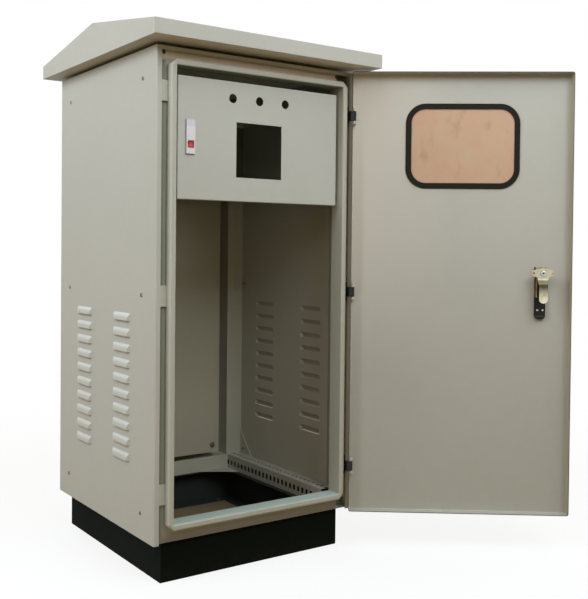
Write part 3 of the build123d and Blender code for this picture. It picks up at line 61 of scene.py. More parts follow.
def linear(red: int, green: int, blue: int) -> tuple[float, float, float, float]:
    """Turns a colour of 0 to 255 steps, as a picture shows it, into linear light.

    Args:
        red: Red step.
        green: Green step.
        blue: Blue step.

    Returns:
        Linear red, green, blue and a full alpha.
    """
    steps = [value / 255 for value in (red, green, blue)]
    light = [s / 12.92 if s <= 0.04045 else ((s + 0.055) / 1.055) ** 2.4 for s in steps]
    return (light[0], light[1], light[2], 1.0)


class Wiring:
    """A node tree that is filled one node at a time."""

    COLUMN_WIDTH = 190
    ROW_HEIGHT = 160
    ROWS = 4
    # Numbers of a Mix node's sockets for colours: factor, first, second and result.
    MIX_COLOUR_SOCKETS = (0, 6, 7, 2)

    def __init__(self, tree: Tree) -> None:
        """Keeps the tree to fill and the column of its next node."""
        self.tree = tree
        self.column = 0

    def add(self, kind: str, inputs: Optional[dict] = None, **settings: object) -> Node:
        """Adds a node, with its settings, plain values and links.

        Args:
            kind: Blender's name of the node type.
            inputs: Input name or number to a value, or to the output socket that feeds it.
            **settings: Properties of the node itself.

        Returns:
            The new node.
        """
        node = self.tree.nodes.new(kind)
        node.location = (self.column * self.COLUMN_WIDTH, -(self.column % self.ROWS) * self.ROW_HEIGHT)
        self.column += 1
        for name, value in settings.items():
            setattr(node, name, value)
        self.feed(node, inputs or {})
        return node

    def feed(self, node: Node, inputs: dict) -> None:
        """Sets or links inputs of a node.

        Args:
            node: The node.
            inputs: Input name or number to a value, or to the output socket that feeds it.
        """
        for name, value in inputs.items():
            if isinstance(value, Socket):
                self.tree.links.new(value, node.inputs[name])
            else:
                node.inputs[name].default_value = value

    def place(self) -> Socket:
        """Gives the place of a point, in the metres of its piece."""
        return self.add("ShaderNodeTexCoord").outputs["Object"]

    def normal(self) -> Socket:
        """Gives the way that a face looks."""
        return self.add("ShaderNodeNewGeometry").outputs["Normal"]

    def math(self, operation: str, first: Number, second: Number = 0.0, clamp: bool = False) -> Socket:
        """Adds a math node.

        Args:
            operation: The sum to do.
            first: First value or socket.
            second: Second value or socket.
            clamp: Whether the result stays between 0 and 1.

        Returns:
            The socket of the result.
        """
        node = self.add("ShaderNodeMath", {0: first, 1: second}, operation=operation, use_clamp=clamp)
        return node.outputs[0]

    def times(self, first: Number, second: Number) -> Socket:
        """Multiplies two values or sockets."""
        return self.math("MULTIPLY", first, second)

    def mix(self, amount: Number, first: Shade, second: Shade, blend: str = "MIX") -> Socket:
        """Mixes two colours.

        Args:
            amount: Share of the second colour, or a socket.
            first: First colour or socket.
            second: Second colour or socket.
            blend: How they are mixed.

        Returns:
            The socket of the mixed colour.
        """
        share, lower, upper, result = self.MIX_COLOUR_SOCKETS
        values = {share: amount, lower: first, upper: second}
        return self.add("ShaderNodeMix", values, data_type="RGBA", blend_type=blend).outputs[result]

    def spread(self, value: Socket, low: float, high: float, to_low: float = 0.0,
               to_high: float = 1.0) -> Socket:
        """Maps a value from one range to another and holds it there.

        Args:
            value: Socket of the value.
            low: Start of the first range.
            high: End of the first range.
            to_low: Result at the start.
            to_high: Result at the end.

        Returns:
            The socket of the mapped value.
        """
        node = self.add("ShaderNodeMapRange", {"Value": value, "From Min": low, "From Max": high,
                                               "To Min": to_low, "To Max": to_high}, clamp=True)
        return node.outputs[0]

    def noise(self, place: Socket, scale: Number, detail: float, roughness: float = 0.5) -> Socket:
        """Adds a noise texture.

        Args:
            place: Socket of the coordinates.
            scale: Pattern sizes per metre, or a socket.
            detail: How many finer layers it has.
            roughness: How strong the finer layers are.

        Returns:
            The socket of the pattern.
        """
        values = {"Vector": place, "Scale": scale, "Detail": detail, "Roughness": roughness}
        return self.add("ShaderNodeTexNoise", values).outputs[0]


FLOAT = "NodeSocketFloat"
COLOUR = "NodeSocketColor"
VECTOR = "NodeSocketVector"
MASK_OUTPUTS = (("Mask", FLOAT),)
SURFACE_OUTPUTS = (("Color", COLOUR), ("Roughness", FLOAT), ("Height", FLOAT))


def make_group(name: str, inputs: Sequence[tuple],
               outputs: Sequence[tuple]) -> tuple[Wiring, bpy.types.NodeOutputs, Node]:
    """Starts a shader node group with named sockets.

    Args:
        name: Name of the group.
        inputs: Name, socket type and default of each input.
        outputs: Name and socket type of each output.

    Returns:
        The wiring of the group, the sockets of its inputs and its output node.
    """
    tree = bpy.data.node_groups.new(name, "ShaderNodeTree")
    for label, kind, default in inputs:
        socket = tree.interface.new_socket(label, in_out="INPUT", socket_type=kind)
        socket.default_value = default
    for label, kind in outputs:
        tree.interface.new_socket(label, in_out="OUTPUT", socket_type=kind)
    wiring = Wiring(tree)
    return wiring, wiring.add("NodeGroupInput").outputs, wiring.add("NodeGroupOutput")


class Measure(Enum):
    """What a zone measures along its axis."""

    PLACE = 1
    SPAN = 2
    FACING = 3
    CYCLE = 4


class SurfaceGroups:
    """Shader node groups that several finishes of the cabinet share."""

    # Patterns per metre.
    CLOUDS = 2.6
    PATCHES = 38.0
    BREAKS = 60.0
    SPECKS = 55.0
    METAL_CLOUDS = 90.0
    # Ranges of a pattern, of the cosine of a bend and of how level a face is.
    MIDDLE = (0.3, 0.7)
    WORN = (0.42, 0.62)
    DUSTY = (0.35, 0.68)
    CLOUDED = (0.35, 0.65)
    SHARP = (0.99, 0.8)
    LEVEL = (0.55, 0.95)
    # Changes that the patterns make.
    SMALL_SHARE = 0.35
    ROUGHER = 0.05
    STREAK_GLOSS = (-0.06, 0.08)
    STREAK_STRETCH = 0.08

    def __init__(self) -> None:
        """Builds every group once."""
        self.coat = self._powder_coat()
        self.edges = self._edge_rub()
        self.dust = self._settled_dust()
        self.metal = self._rolled_metal()
        self.zones = {measure: self._zone(measure) for measure in Measure}

    def _zone(self, measure: Measure) -> Tree:
        """Builds the mask of a soft-edged range along an axis.

        Args:
            measure: What is measured along the axis.

        Returns:
            The node group.
        """
        w, given, out = make_group(
            f"zone_{measure.name.lower()}",
            [("Axis", VECTOR, (0, 0, 1)), ("Start", FLOAT, 0.0), ("End", FLOAT, 1.0), ("Centre", FLOAT, 0.0),
             ("Pitch", FLOAT, 1.0)], MASK_OUTPUTS)
        if measure is Measure.FACING:
            value = w.normal()
        else:
            value = w.place()
        if measure is Measure.SPAN:
            value = w.add("ShaderNodeVectorMath", {0: value}, operation="ABSOLUTE").outputs[0]
        along = w.add("ShaderNodeVectorMath", {0: value, 1: given["Axis"]}, operation="DOT_PRODUCT")
        value = along.outputs["Value"]
        if measure is Measure.CYCLE:
            half = w.times(given["Pitch"], 0.5)
            value = w.math("PINGPONG", w.math("SUBTRACT", value, given["Centre"]), half)
        mask = w.add("ShaderNodeMapRange", {"Value": value, "From Min": given["Start"],
                                            "From Max": given["End"]}, clamp=True)
        w.feed(out, {"Mask": mask.outputs[0]})
        return w.tree

    def _powder_coat(self) -> Tree:
        """Builds the orange-peel texture of a stoved powder coat.

        Returns:
            The node group.
        """
        w, given, out = make_group(
            "powder_coat",
            [("Tint", COLOUR, (0.5, 0.5, 0.5, 1)), ("Mottle", FLOAT, 0.03),
             ("Grain Size", FLOAT, 0.0016), ("Roughness", FLOAT, 0.5)], SURFACE_OUTPUTS)
        place = w.place()
        per_metre = w.math("DIVIDE", 1.0, given["Grain Size"])
        peel = w.noise(place, per_metre, 2.0, 0.45)
        cloud = w.noise(place, self.CLOUDS, 4.0, 0.55)
        patch = w.noise(place, self.PATCHES, 3.0, 0.6)
        broad = w.spread(cloud, *self.MIDDLE, -1.0, 1.0)
        small = w.spread(patch, *self.MIDDLE, -self.SMALL_SHARE, self.SMALL_SHARE)
        change = w.times(w.math("ADD", broad, small), given["Mottle"])
        level = w.math("ADD", 1.0, change)
        grey = w.add("ShaderNodeCombineColor", {0: level, 1: level, 2: level})
        colour = w.mix(1.0, given["Tint"], grey.outputs[0], "MULTIPLY")
        rough = w.math("ADD", given["Roughness"], w.times(broad, self.ROUGHER))
        w.feed(out, {"Color": colour, "Roughness": rough, "Height": peel})
        return w.tree

    def _edge_rub(self) -> Tree:
        """Builds the mask of edges where handling has rubbed the coat.

        Returns:
            The node group.
        """
        w, given, out = make_group("edge_rub", [("Width", FLOAT, 0.002), ("Amount", FLOAT, 0.3)], MASK_OUTPUTS)
        place = w.place()
        rounded = w.add("ShaderNodeBevel", {"Radius": given["Width"]}, samples=BEVEL_SAMPLES)
        match = w.add("ShaderNodeVectorMath", {0: rounded.outputs[0], 1: w.normal()}, operation="DOT_PRODUCT")
        bend = w.spread(match.outputs["Value"], *self.SHARP)
        worn = w.spread(w.noise(place, self.BREAKS, 5.0, 0.7), *self.WORN)
        mask = w.times(w.times(bend, worn), given["Amount"])
        w.feed(out, {"Mask": mask})
        return w.tree

    def _settled_dust(self) -> Tree:
        """Builds the mask of dust on ledges and low down on the cabinet.

        Returns:
            The node group.
        """
        w, given, out = make_group(
            "settled_dust",
            [("Ledge", FLOAT, 0.3), ("Foot", FLOAT, 0.2), ("Foot Height", FLOAT, 0.25)], MASK_OUTPUTS)
        place = w.place()
        height = w.add("ShaderNodeSeparateXYZ", {0: place}).outputs["Z"]
        facing = w.add("ShaderNodeSeparateXYZ", {0: w.normal()}).outputs["Z"]
        cover = w.spread(w.noise(place, self.SPECKS, 6.0, 0.72), *self.DUSTY)
        ledge = w.times(w.spread(facing, *self.LEVEL), given["Ledge"])
        low = w.math("DIVIDE", height, given["Foot Height"])
        foot = w.times(w.spread(low, 1.0, 0.0), given["Foot"])
        mask = w.math("MULTIPLY", w.math("MAXIMUM", ledge, foot), cover, clamp=True)
        w.feed(out, {"Mask": mask})
        return w.tree

    def _rolled_metal(self) -> Tree:
        """Builds the streaks and clouds of plated or rolled metal.

        Returns:
            The node group.
        """
        w, given, out = make_group(
            "rolled_metal",
            [("Light", COLOUR, (0.6, 0.6, 0.6, 1)), ("Dark", COLOUR, (0.4, 0.4, 0.4, 1)),
             ("Streak Size", FLOAT, 0.0008), ("Roughness", FLOAT, 0.3)], SURFACE_OUTPUTS)
        place = w.place()
        stretched = w.add("ShaderNodeMapping", {"Vector": place, "Scale": (1.0, 1.0, self.STREAK_STRETCH)})
        per_metre = w.math("DIVIDE", 1.0, given["Streak Size"])
        streaks = w.noise(stretched.outputs[0], per_metre, 3.0)
        amount = w.spread(w.noise(place, self.METAL_CLOUDS, 4.0, 0.6), *self.CLOUDED)
        colour = w.mix(amount, given["Dark"], given["Light"])
        rough = w.math("ADD", given["Roughness"], w.spread(streaks, *self.MIDDLE, *self.STREAK_GLOSS))
        w.feed(out, {"Color": colour, "Roughness": rough, "Height": streaks})
        return w.tree


@dataclass(frozen=True)
class Zone:
    """A range along an axis that fades in from its start to its end, in metres or in share of facing."""

    measure: Measure
    axis: Axis
    start: float
    end: float
    centre: float = 0.0
    pitch: float = 1.0


@dataclass(frozen=True)
class StainAndPaintedLight:
    """A tint that shows where all its zones overlap; used for real stains and tones and for painted light and
    shade.
    """

    colour: Colour
    amount: float
    zones: tuple[Zone, ...]


@dataclass(frozen=True)
class Finish:
    """What every finish of the cabinet has."""

    name: str
    stains_and_painted_light: tuple[StainAndPaintedLight, ...] = ()
    relief: float = 0.0
    rounding: float = 0.0

    def lay_stains_and_painted_light(self, w: Wiring, groups: SurfaceGroups, colour: Socket) -> Socket:
        """Lays the stains and the painted light and shade over a colour, the last one on top.

        Args:
            w: Wiring of the material.
            groups: The shared node groups.
            colour: Socket of the colour before them.

        Returns:
            Socket of the colour with them laid over it.
        """
        for tint_layer in self.stains_and_painted_light:
            mask = tint_layer.amount
            for zone in tint_layer.zones:
                values = {"Axis": zone.axis, "Start": zone.start, "End": zone.end, "Centre": zone.centre,
                          "Pitch": zone.pitch}
                here = place_group(w, groups.zones[zone.measure], values).outputs["Mask"]
                mask = w.times(here, mask)
            colour = w.mix(mask, colour, linear(*tint_layer.colour))
        return colour

    def surface(self, w: Wiring, shader: Node, colour: Socket, rough: Socket,
                height: Socket) -> None:
        """Joins colour, roughness and relief to the shader, with softly rounded edges.

        Args:
            w: Wiring of the material.
            shader: Its Principled shader.
            colour: Socket of the colour.
            rough: Socket of the roughness.
            height: Socket of the relief's pattern.
        """
        soft = w.add("ShaderNodeBevel", {"Radius": self.rounding}, samples=BEVEL_SAMPLES)
        bump = w.add("ShaderNodeBump", {"Height": height, "Distance": self.relief, "Normal": soft.outputs[0]})
        w.feed(shader, {"Base Color": colour, "Roughness": rough, "Normal": bump.outputs[0]})

    def start(self) -> tuple[Material, Wiring, Node]:
        """Starts the material with an empty surface shader.

        Returns:
            The material, its wiring and its Principled shader.
        """
        material = bpy.data.materials.new(self.name)
        material.use_nodes = True
        material.node_tree.nodes.clear()
        w = Wiring(material.node_tree)
        out = w.add("ShaderNodeOutputMaterial")
        shader = w.add("ShaderNodeBsdfPrincipled")
        w.feed(out, {"Surface": shader.outputs[0]})
        return material, w, shader


def place_group(w: Wiring, tree: Tree, values: dict) -> Node:
    """Places a shader group in a material, with a value or socket for each input's name."""
    return w.add("ShaderNodeGroup", values, node_tree=tree)


@dataclass(frozen=True)
class PowderCoat(Finish):
    """Stoved powder coat on folded sheet, with orange peel, rubbed edges and a little dust."""

    tint: Colour = (186, 183, 170)
    roughness: float = 0.5
    grain: float = 0.0016
    relief: float = 0.00012
    mottle: float = 0.03
    rubbed: Colour = (205, 203, 192)
    rub: float = 0.3
    rub_width: float = 0.0022
    dirtier: float = 0.3
    dust: Colour = (150, 140, 118)
    ledge: float = 0.18
    foot: float = 0.1
    foot_height: float = 0.35
    rounding: float = 0.0012
    specular: float = 0.3
    ior: float = 1.5

    def build(self, groups: SurfaceGroups) -> Material:
        """Builds the material.

        Args:
            groups: The shared node groups.

        Returns:
            The material.
        """
        material, w, shader = self.start()
        coat = place_group(w, groups.coat, {"Tint": linear(*self.tint), "Mottle": self.mottle,
                                            "Grain Size": self.grain, "Roughness": self.roughness})
        rub = place_group(w, groups.edges, {"Width": self.rub_width, "Amount": self.rub})
        dust = place_group(w, groups.dust, {"Ledge": self.ledge, "Foot": self.foot,
                                            "Foot Height": self.foot_height})
        colour = w.mix(rub.outputs["Mask"], coat.outputs["Color"], linear(*self.rubbed))
        colour = self.lay_stains_and_painted_light(w, groups, w.mix(dust.outputs["Mask"], colour, linear(*self.dust)))
        dirtier = w.times(dust.outputs["Mask"], self.dirtier)
        rough = w.math("ADD", coat.outputs["Roughness"], dirtier, clamp=True)
        self.surface(w, shader, colour, rough, coat.outputs["Height"])
        w.feed(shader, {"Specular IOR Level": self.specular, "IOR": self.ior})
        return material


@dataclass(frozen=True)
class PlatedMetal(Finish):
    """Zinc-plated, passivated or chromed metal."""

    light: Colour = (205, 205, 202)
    dark: Colour = (165, 166, 165)
    roughness: float = 0.3
    streak: float = 0.0009
    relief: float = 0.00002
    rounding: float = 0.0005

    def build(self, groups: SurfaceGroups) -> Material:
        """Builds the material.

        Args:
            groups: The shared node groups.

        Returns:
            The material.
        """
        material, w, shader = self.start()
        metal = place_group(w, groups.metal, {"Light": linear(*self.light), "Dark": linear(*self.dark),
                                              "Streak Size": self.streak, "Roughness": self.roughness})
        colour = self.lay_stains_and_painted_light(w, groups, metal.outputs["Color"])
        self.surface(w, shader, colour, metal.outputs["Roughness"], metal.outputs["Height"])
        w.feed(shader, {"Metallic": 1.0})
        return material


@dataclass(frozen=True)
class Moulded(Finish):
    """Moulded plastic or rubber, with a fine mould texture."""

    tint: Colour = (30, 30, 30)
    roughness: float = 0.45
    grain: float = 0.0007
    relief: float = 0.00003
    mottle: float = 0.06
    scuffed: Colour = (70, 70, 68)
    scuff: float = 0.25
    scuff_width: float = 0.001
    rounding: float = 0.0006
    specular: float = 0.45

    def build(self, groups: SurfaceGroups) -> Material:
        """Builds the material.

        Args:
            groups: The shared node groups.

        Returns:
            The material.
        """
        material, w, shader = self.start()
        skin = place_group(w, groups.coat, {"Tint": linear(*self.tint), "Mottle": self.mottle,
                                            "Grain Size": self.grain, "Roughness": self.roughness})
        rub = place_group(w, groups.edges, {"Width": self.scuff_width, "Amount": self.scuff})
        colour = self.lay_stains_and_painted_light(w, groups, w.mix(rub.outputs["Mask"], skin.outputs["Color"], linear(*self.scuffed)))
        self.surface(w, shader, colour, skin.outputs["Roughness"], skin.outputs["Height"])
        w.feed(shader, {"Specular IOR Level": self.specular})
        return material


@dataclass(frozen=True)
class FilmedPane(Finish):
    """Acrylic window sheet that still has its tan protective film, with rubbed and marked places."""

    tint: Colour = (198, 160, 130)
    pale: Colour = (197, 168, 138)
    mark: Colour = (150, 112, 82)
    roughness: float = 0.42
    mottle: float = 0.035
    grain: float = 0.004
    hazes: float = 11.0
    hazed: tuple[float, ...] = (0.4, 0.7, 0.0, 0.8)
    rubs: float = 34.0
    marked: tuple[float, ...] = (0.56, 0.72, 0.0, 0.4)
    dulled: tuple[float, ...] = (0.35, 0.7, 0.34, 0.55)
    rub_stretch: float = 0.45
    ripple: float = 0.0004
    specular: float = 0.4

    def build(self, groups: SurfaceGroups) -> Material:
        """Builds the material.

        Args:
            groups: The shared node groups.

        Returns:
            The material.
        """
        material, w, shader = self.start()
        film = place_group(w, groups.coat, {"Tint": linear(*self.tint), "Mottle": self.mottle,
                                            "Grain Size": self.grain, "Roughness": self.roughness})
        place = w.place()
        haze = w.noise(place, self.hazes, 5.0, 0.6)
        flat = w.add("ShaderNodeMapping", {"Vector": place, "Scale": (1.0, 1.0, self.rub_stretch)})
        rubs = w.noise(flat.outputs[0], self.rubs, 4.0, 0.7)
        colour = w.mix(w.spread(haze, *self.hazed), film.outputs["Color"], linear(*self.pale))
        colour = w.mix(w.spread(rubs, *self.marked), colour, linear(*self.mark))
        colour = self.lay_stains_and_painted_light(w, groups, colour)
        bump = w.add("ShaderNodeBump", {"Height": haze, "Distance": self.ripple})
        w.feed(shader, {"Base Color": colour, "Roughness": w.spread(rubs, *self.dulled),
                        "Normal": bump.outputs[0], "Specular IOR Level": self.specular})
        return material


# Axes of the open door: out of its inner face, to its hinges and to its free edge.
DOOR_NORMAL: Axis = (-0.59763, -0.80178, 0.0)
DOOR_TO_HINGE: Axis = (-0.80178, 0.59763, 0.0)
DOOR_TO_EDGE: Axis = (0.80178, -0.59763, 0.0)
# Axes of the cabinet.
X_AXIS: Axis = (1.0, 0.0, 0.0)
Y_AXIS: Axis = (0.0, 1.0, 0.0)
UP: Axis = (0.0, 0.0, 1.0)
DOWN: Axis = (0.0, 0.0, -1.0)
FORWARD: Axis = (0.0, -1.0, 0.0)
LEFTWARD: Axis = (-1.0, 0.0, 0.0)


def at(axis: Axis, start: float, end: float) -> Zone:
    """Gives a zone by place along an axis, in metres."""
    return Zone(Measure.PLACE, axis, start, end)


def facing(axis: Axis, start: float, end: float) -> Zone:
    """Gives a zone by how far a face is turned towards an axis."""
    return Zone(Measure.FACING, axis, start, end)


def beyond(axis: Axis, start: float, end: float) -> Zone:
    """Gives a zone by distance from the cabinet's middle along an axis, on both sides."""
    return Zone(Measure.SPAN, axis, start, end)


def within(axis: Axis, limit: float, fade: float) -> Zone:
    """Gives a zone that reaches to a distance from the cabinet's middle and fades past it."""
    return Zone(Measure.SPAN, opposite(axis), -limit - fade, -limit)


def slots(start: float, end: float) -> Zone:
    """Gives a zone that comes back with each slot of the base rails."""
    return Zone(Measure.CYCLE, Y_AXIS, start, end, SLOT_CENTRE, SLOT_PITCH)


def opposite(axis: Axis) -> Axis:
    """Turns an axis round."""
    return tuple(-value for value in axis)


def band(axis: Axis, low: float, high: float, soft: float = 0.0006) -> tuple[Zone, Zone]:
    """Gives the two zones that hold a band across an axis.

    Args:
        axis: The axis that the band crosses.
        low: Where the band starts, in metres.
        high: Where it ends.
        soft: Width of its soft edges.

    Returns:
        The zone of its start and the zone of its end.
    """
    return at(axis, low - soft, low), at(opposite(axis), -high - soft, -high)


# Where the slots of the base rails lie along them, in metres.
SLOT_CENTRE = 0.005
SLOT_PITCH = 0.02
GUTTER_FLOOR = at(FORWARD, 0.285, 0.290)

# Painted shade in the left and low gutters, and painted warm light in the right and top ones.
GUTTER_PAINTED_SHADE_AND_LIGHT = (
    StainAndPaintedLight((186, 178, 154), 1.0, (at(X_AXIS, 0.262, 0.266), GUTTER_FLOOR)),
    StainAndPaintedLight((100, 109, 86), 1.0, (at(LEFTWARD, 0.266, 0.282), GUTTER_FLOOR, at(Y_AXIS, -0.2945, -0.2935),
                                at(DOWN, -1.262, -1.258))),
    StainAndPaintedLight((128, 118, 102), 1.0, (at(DOWN, -0.129, -0.108), GUTTER_FLOOR)),
    StainAndPaintedLight((221, 208, 193), 1.0, (at(UP, 1.263, 1.265), GUTTER_FLOOR)),
)
# Painted shade under the lip at the top, and painted bluish sky light on the top of the sill.
LIP_PAINTED_SHADE_AND_LIGHT = (
    StainAndPaintedLight((112, 120, 102), 1.0, (facing(DOWN, 0.6, 0.9), at(UP, 1.235, 1.240))),
    StainAndPaintedLight((171, 187, 179), 1.0, (facing(UP, 0.5, 0.9), at(DOWN, -0.175, -0.170), at(FORWARD, 0.262, 0.285))),
)
# Painted shade inside the foot of each base rail, and painted shade round the rims of the slots in its front and
# top, which makes them look wider.
RAIL_PAINTED_SHADE = (
    StainAndPaintedLight((34, 32, 25), 1.0, (beyond(X_AXIS, 0.2489, 0.2493), at(DOWN, -0.1455, -0.1446),
                              at(Y_AXIS, -0.232, -0.226))),
    StainAndPaintedLight((38, 36, 28), 1.0, (slots(0.0056, 0.0046), within(X_AXIS, 0.2495, 0.0005),
                              *band(UP, 0.1154, 0.1296, 0.0008))),
    StainAndPaintedLight((52, 54, 46), 1.0, (slots(0.0052, 0.0042), facing(UP, 0.6, 0.9), beyond(X_AXIS, 0.2662, 0.2670),
                              within(X_AXIS, 0.2750, 0.0008))),
)
# Painted highlights on the tops and noses of the louvres and painted shade in their mouths, then painted shade
# inside, at the top and at the foot.
SIDE_PAINTED_LIGHT_AND_SHADE = (
    StainAndPaintedLight((200, 201, 193), 0.4, (facing(UP, 0.12, 0.25), beyond(X_AXIS, 0.2985, 0.3))),
    StainAndPaintedLight((218, 222, 220), 0.8, (facing(UP, 0.12, 0.25), beyond(X_AXIS, 0.2998, 0.3014),
                                 within(X_AXIS, 0.3030, 0.0022))),
    StainAndPaintedLight((110, 102, 86), 0.45, (facing(DOWN, 0.12, 0.3), beyond(X_AXIS, 0.2985, 0.3))),
    StainAndPaintedLight((84, 76, 60), 0.9, (facing(DOWN, 0.75, 0.95), beyond(X_AXIS, 0.3004, 0.3012))),
    StainAndPaintedLight((145, 156, 155), 1.0, (within(X_AXIS, 0.2990, 0.0005), at(UP, 0.90, 1.08), within(Y_AXIS, 0.286, 0.004))),
    StainAndPaintedLight((30, 28, 22), 1.0, (within(X_AXIS, 0.2990, 0.0003), at(DOWN, -0.1455, -0.1446),
                              within(Y_AXIS, 0.242, 0.004))),
)
# Painted shade that darkens the door towards the bottom, painted light on its upper half near the hinges, and
# painted shade on its hinge-side flange and along the rims of its folded edges.
DOOR_PAINTED_SHADE_AND_LIGHT = (
    StainAndPaintedLight((134, 133, 119), 0.21, (at(DOWN, -0.95, -0.40),)),
    StainAndPaintedLight((206, 198, 184), 1.0, (facing(DOOR_NORMAL, 0.5, 0.9), at(UP, 0.5, 1.12),
                                 at(DOOR_TO_HINGE, -0.70, -0.44))),
    StainAndPaintedLight((176, 168, 142), 1.0, (facing(DOOR_TO_HINGE, 0.7, 0.95),)),
    StainAndPaintedLight((88, 80, 70), 0.9, (at(DOOR_NORMAL, 0.0960, 0.0975),)),
)
# On the cam: its plate darker above and orange-brown at both ears, and painted shade on its tongue under the
# joggle, on the joggle and along the joggle's bends.
CAM_PAINTED_SHADE_AND_TONES = (
    StainAndPaintedLight((150, 147, 126), 0.6, (at(UP, 0.735, 0.741),)),
    StainAndPaintedLight((56, 51, 30), 0.93, (at(UP, 0.682, 0.716), at(DOWN, -0.7245, -0.7235))),
    StainAndPaintedLight((96, 88, 62), 1.0, band(UP, 0.7245, 0.7315)),
    StainAndPaintedLight((84, 74, 52), 1.0, band(UP, 0.7215, 0.7240)),
    StainAndPaintedLight((84, 74, 52), 0.9, band(UP, 0.7320, 0.7340)),
    StainAndPaintedLight((188, 142, 104), 0.6, (at(DOOR_TO_EDGE, 0.948, 0.956),)),
    StainAndPaintedLight((188, 142, 104), 0.6, (at(DOOR_TO_HINGE, -0.906, -0.898),)),
)
# Painted shade on the flank of the lock bracket towards the hinges.
BRACKET_PAINTED_SHADE = (StainAndPaintedLight((92, 62, 44), 0.9, (at(DOOR_TO_HINGE, -0.9155, -0.9145),)),)
# A painted highlight line along a rim of the black lock housing.
HOUSING_PAINTED_HIGHLIGHT = (StainAndPaintedLight((74, 70, 60), 0.7, band(UP, 0.6355, 0.6375)),)
# Painted shade on the soffit where it reaches back over the cabinet, behind its front.
SOFFIT_PAINTED_SHADE = (StainAndPaintedLight((166, 158, 136), 0.6, (at(Y_AXIS, -0.345, -0.305),)),)
SHADE_STAINS = (StainAndPaintedLight((106, 104, 90), 1.0, (at(UP, 0.93, 1.02),)),)
# Painted shade in the recess and round the sides of the cam screw's head.
SCREW_PAINTED_SHADE = (
    StainAndPaintedLight((58, 54, 46), 1.0, (at(DOOR_TO_EDGE, 0.90, 0.91), at(UP, 0.70, 0.71),
                              at(opposite(DOOR_NORMAL), -0.1110, -0.1104))),
)
PLINTH_STAINS = (StainAndPaintedLight((52, 57, 55), 1.0, (within(X_AXIS, 0.2690, 0.0005), within(Y_AXIS, 0.2790, 0.0005))),)
SWITCH_STAINS = (StainAndPaintedLight((214, 209, 218), 1.0, (at(UP, 1.1066, 1.1074),)),)
# A painted highlight on the middle of the red toggle.
TOGGLE_PAINTED_HIGHLIGHT = (
    StainAndPaintedLight((196, 88, 90), 0.9, (*band(X_AXIS, -0.2110, -0.2030, 0.001), *band(UP, 1.0590, 1.0670, 0.001))),
)


class Coat(Enum):
    """The finishes of the cabinet, each with its own material."""

    BODY = PowderCoat("body_powder_coat", tint=(187, 185, 175))
    SIDE = PowderCoat("side_powder_coat", SIDE_PAINTED_LIGHT_AND_SHADE, tint=(187, 185, 175))
    FRAME = PowderCoat("frame_powder_coat", GUTTER_PAINTED_SHADE_AND_LIGHT + LIP_PAINTED_SHADE_AND_LIGHT, tint=(183, 182, 168), grain=0.0015)
    # The soffit's tint is painted light: lighter than the body's, to brighten the roof's shaded underside.
    SOFFIT = PowderCoat("soffit_powder_coat", SOFFIT_PAINTED_SHADE, tint=(212, 202, 180))
    PLATE = PowderCoat("plate_powder_coat", SHADE_STAINS, tint=(178, 173, 152), grain=0.0015)
    INNER = PowderCoat("inner_powder_coat", SHADE_STAINS, tint=(187, 185, 167), grain=0.0015)
    RAIL = PowderCoat("rail_powder_coat", RAIL_PAINTED_SHADE, tint=(185, 183, 173), grain=0.0015)
    INSTRUMENTS = PowderCoat("instrument_powder_coat", tint=(189, 189, 180), ledge=0.08)
    DOOR = PowderCoat("door_powder_coat", DOOR_PAINTED_SHADE_AND_LIGHT, tint=(187, 184, 173), mottle=0.035)
    PLINTH = PowderCoat("plinth_black_coat", PLINTH_STAINS, tint=(19, 22, 18), rubbed=(60, 58, 52),
                        roughness=0.6, dust=(80, 74, 60), ledge=0.25, foot_height=0.05, grain=0.0022,
                        relief=0.0002, specular=0.06, ior=1.2)
    HINGE = PowderCoat("hinge_black_coat", tint=(26, 27, 26), rubbed=(110, 108, 102), rub=0.4, roughness=0.42,
                       grain=0.0009, relief=0.00005, rounding=0.0008, ledge=0.1, specular=0.25)
    LOCK = PowderCoat("lock_black_coat", tint=(28, 28, 26), rubbed=(115, 112, 104), rub=0.35, roughness=0.38,
                      grain=0.0009, relief=0.00005, rounding=0.001, ledge=0.1, specular=0.25)
    ZINC = PlatedMetal("bright_zinc", SCREW_PAINTED_SHADE)
    DULL_ZINC = PlatedMetal("dull_zinc", light=(156, 152, 138), dark=(104, 98, 84), roughness=0.5)
    YELLOW_ZINC = PlatedMetal("yellow_passivated_zinc", CAM_PAINTED_SHADE_AND_TONES, light=(236, 230, 202), dark=(202, 194, 160),
                              roughness=0.34)
    BRACKET = PlatedMetal("lock_bracket_zinc", BRACKET_PAINTED_SHADE, light=(206, 176, 138), dark=(150, 116, 80),
                          roughness=0.4)
    CHROME = PlatedMetal("polished_chrome", light=(220, 220, 222), dark=(200, 201, 203), roughness=0.12)
    RUBBER = Moulded("black_rubber", tint=(25, 22, 14), roughness=0.6, scuff=0.15, specular=0.12)
    HOUSING = Moulded("black_moulding", HOUSING_PAINTED_HIGHLIGHT, tint=(20, 18, 13), roughness=0.4, specular=0.2)
    WHITE = Moulded("white_moulding", SWITCH_STAINS, tint=(224, 224, 224), mottle=0.015, scuffed=(240, 240, 241),
                    scuff=0.3, roughness=0.38)
    RED = Moulded("red_moulding", TOGGLE_PAINTED_HIGHLIGHT, tint=(178, 40, 44), mottle=0.04, scuffed=(220, 96, 98), scuff=0.3,
                  roughness=0.3)
    FILM = FilmedPane("tan_protective_film")


class Wardrobe:
    """Builds each finish once and hands it out."""

    def __init__(self) -> None:
        """Builds the shared groups."""
        self.groups = SurfaceGroups()
        self.made: dict[Coat, Material] = {}

    def get(self, coat: Coat) -> Material:
        """Gives the material of a finish.

        Args:
            coat: Which finish.

        Returns:
            Its material.
        """
        if coat not in self.made:
            self.made[coat] = coat.value.build(self.groups)
        return self.made[coat]


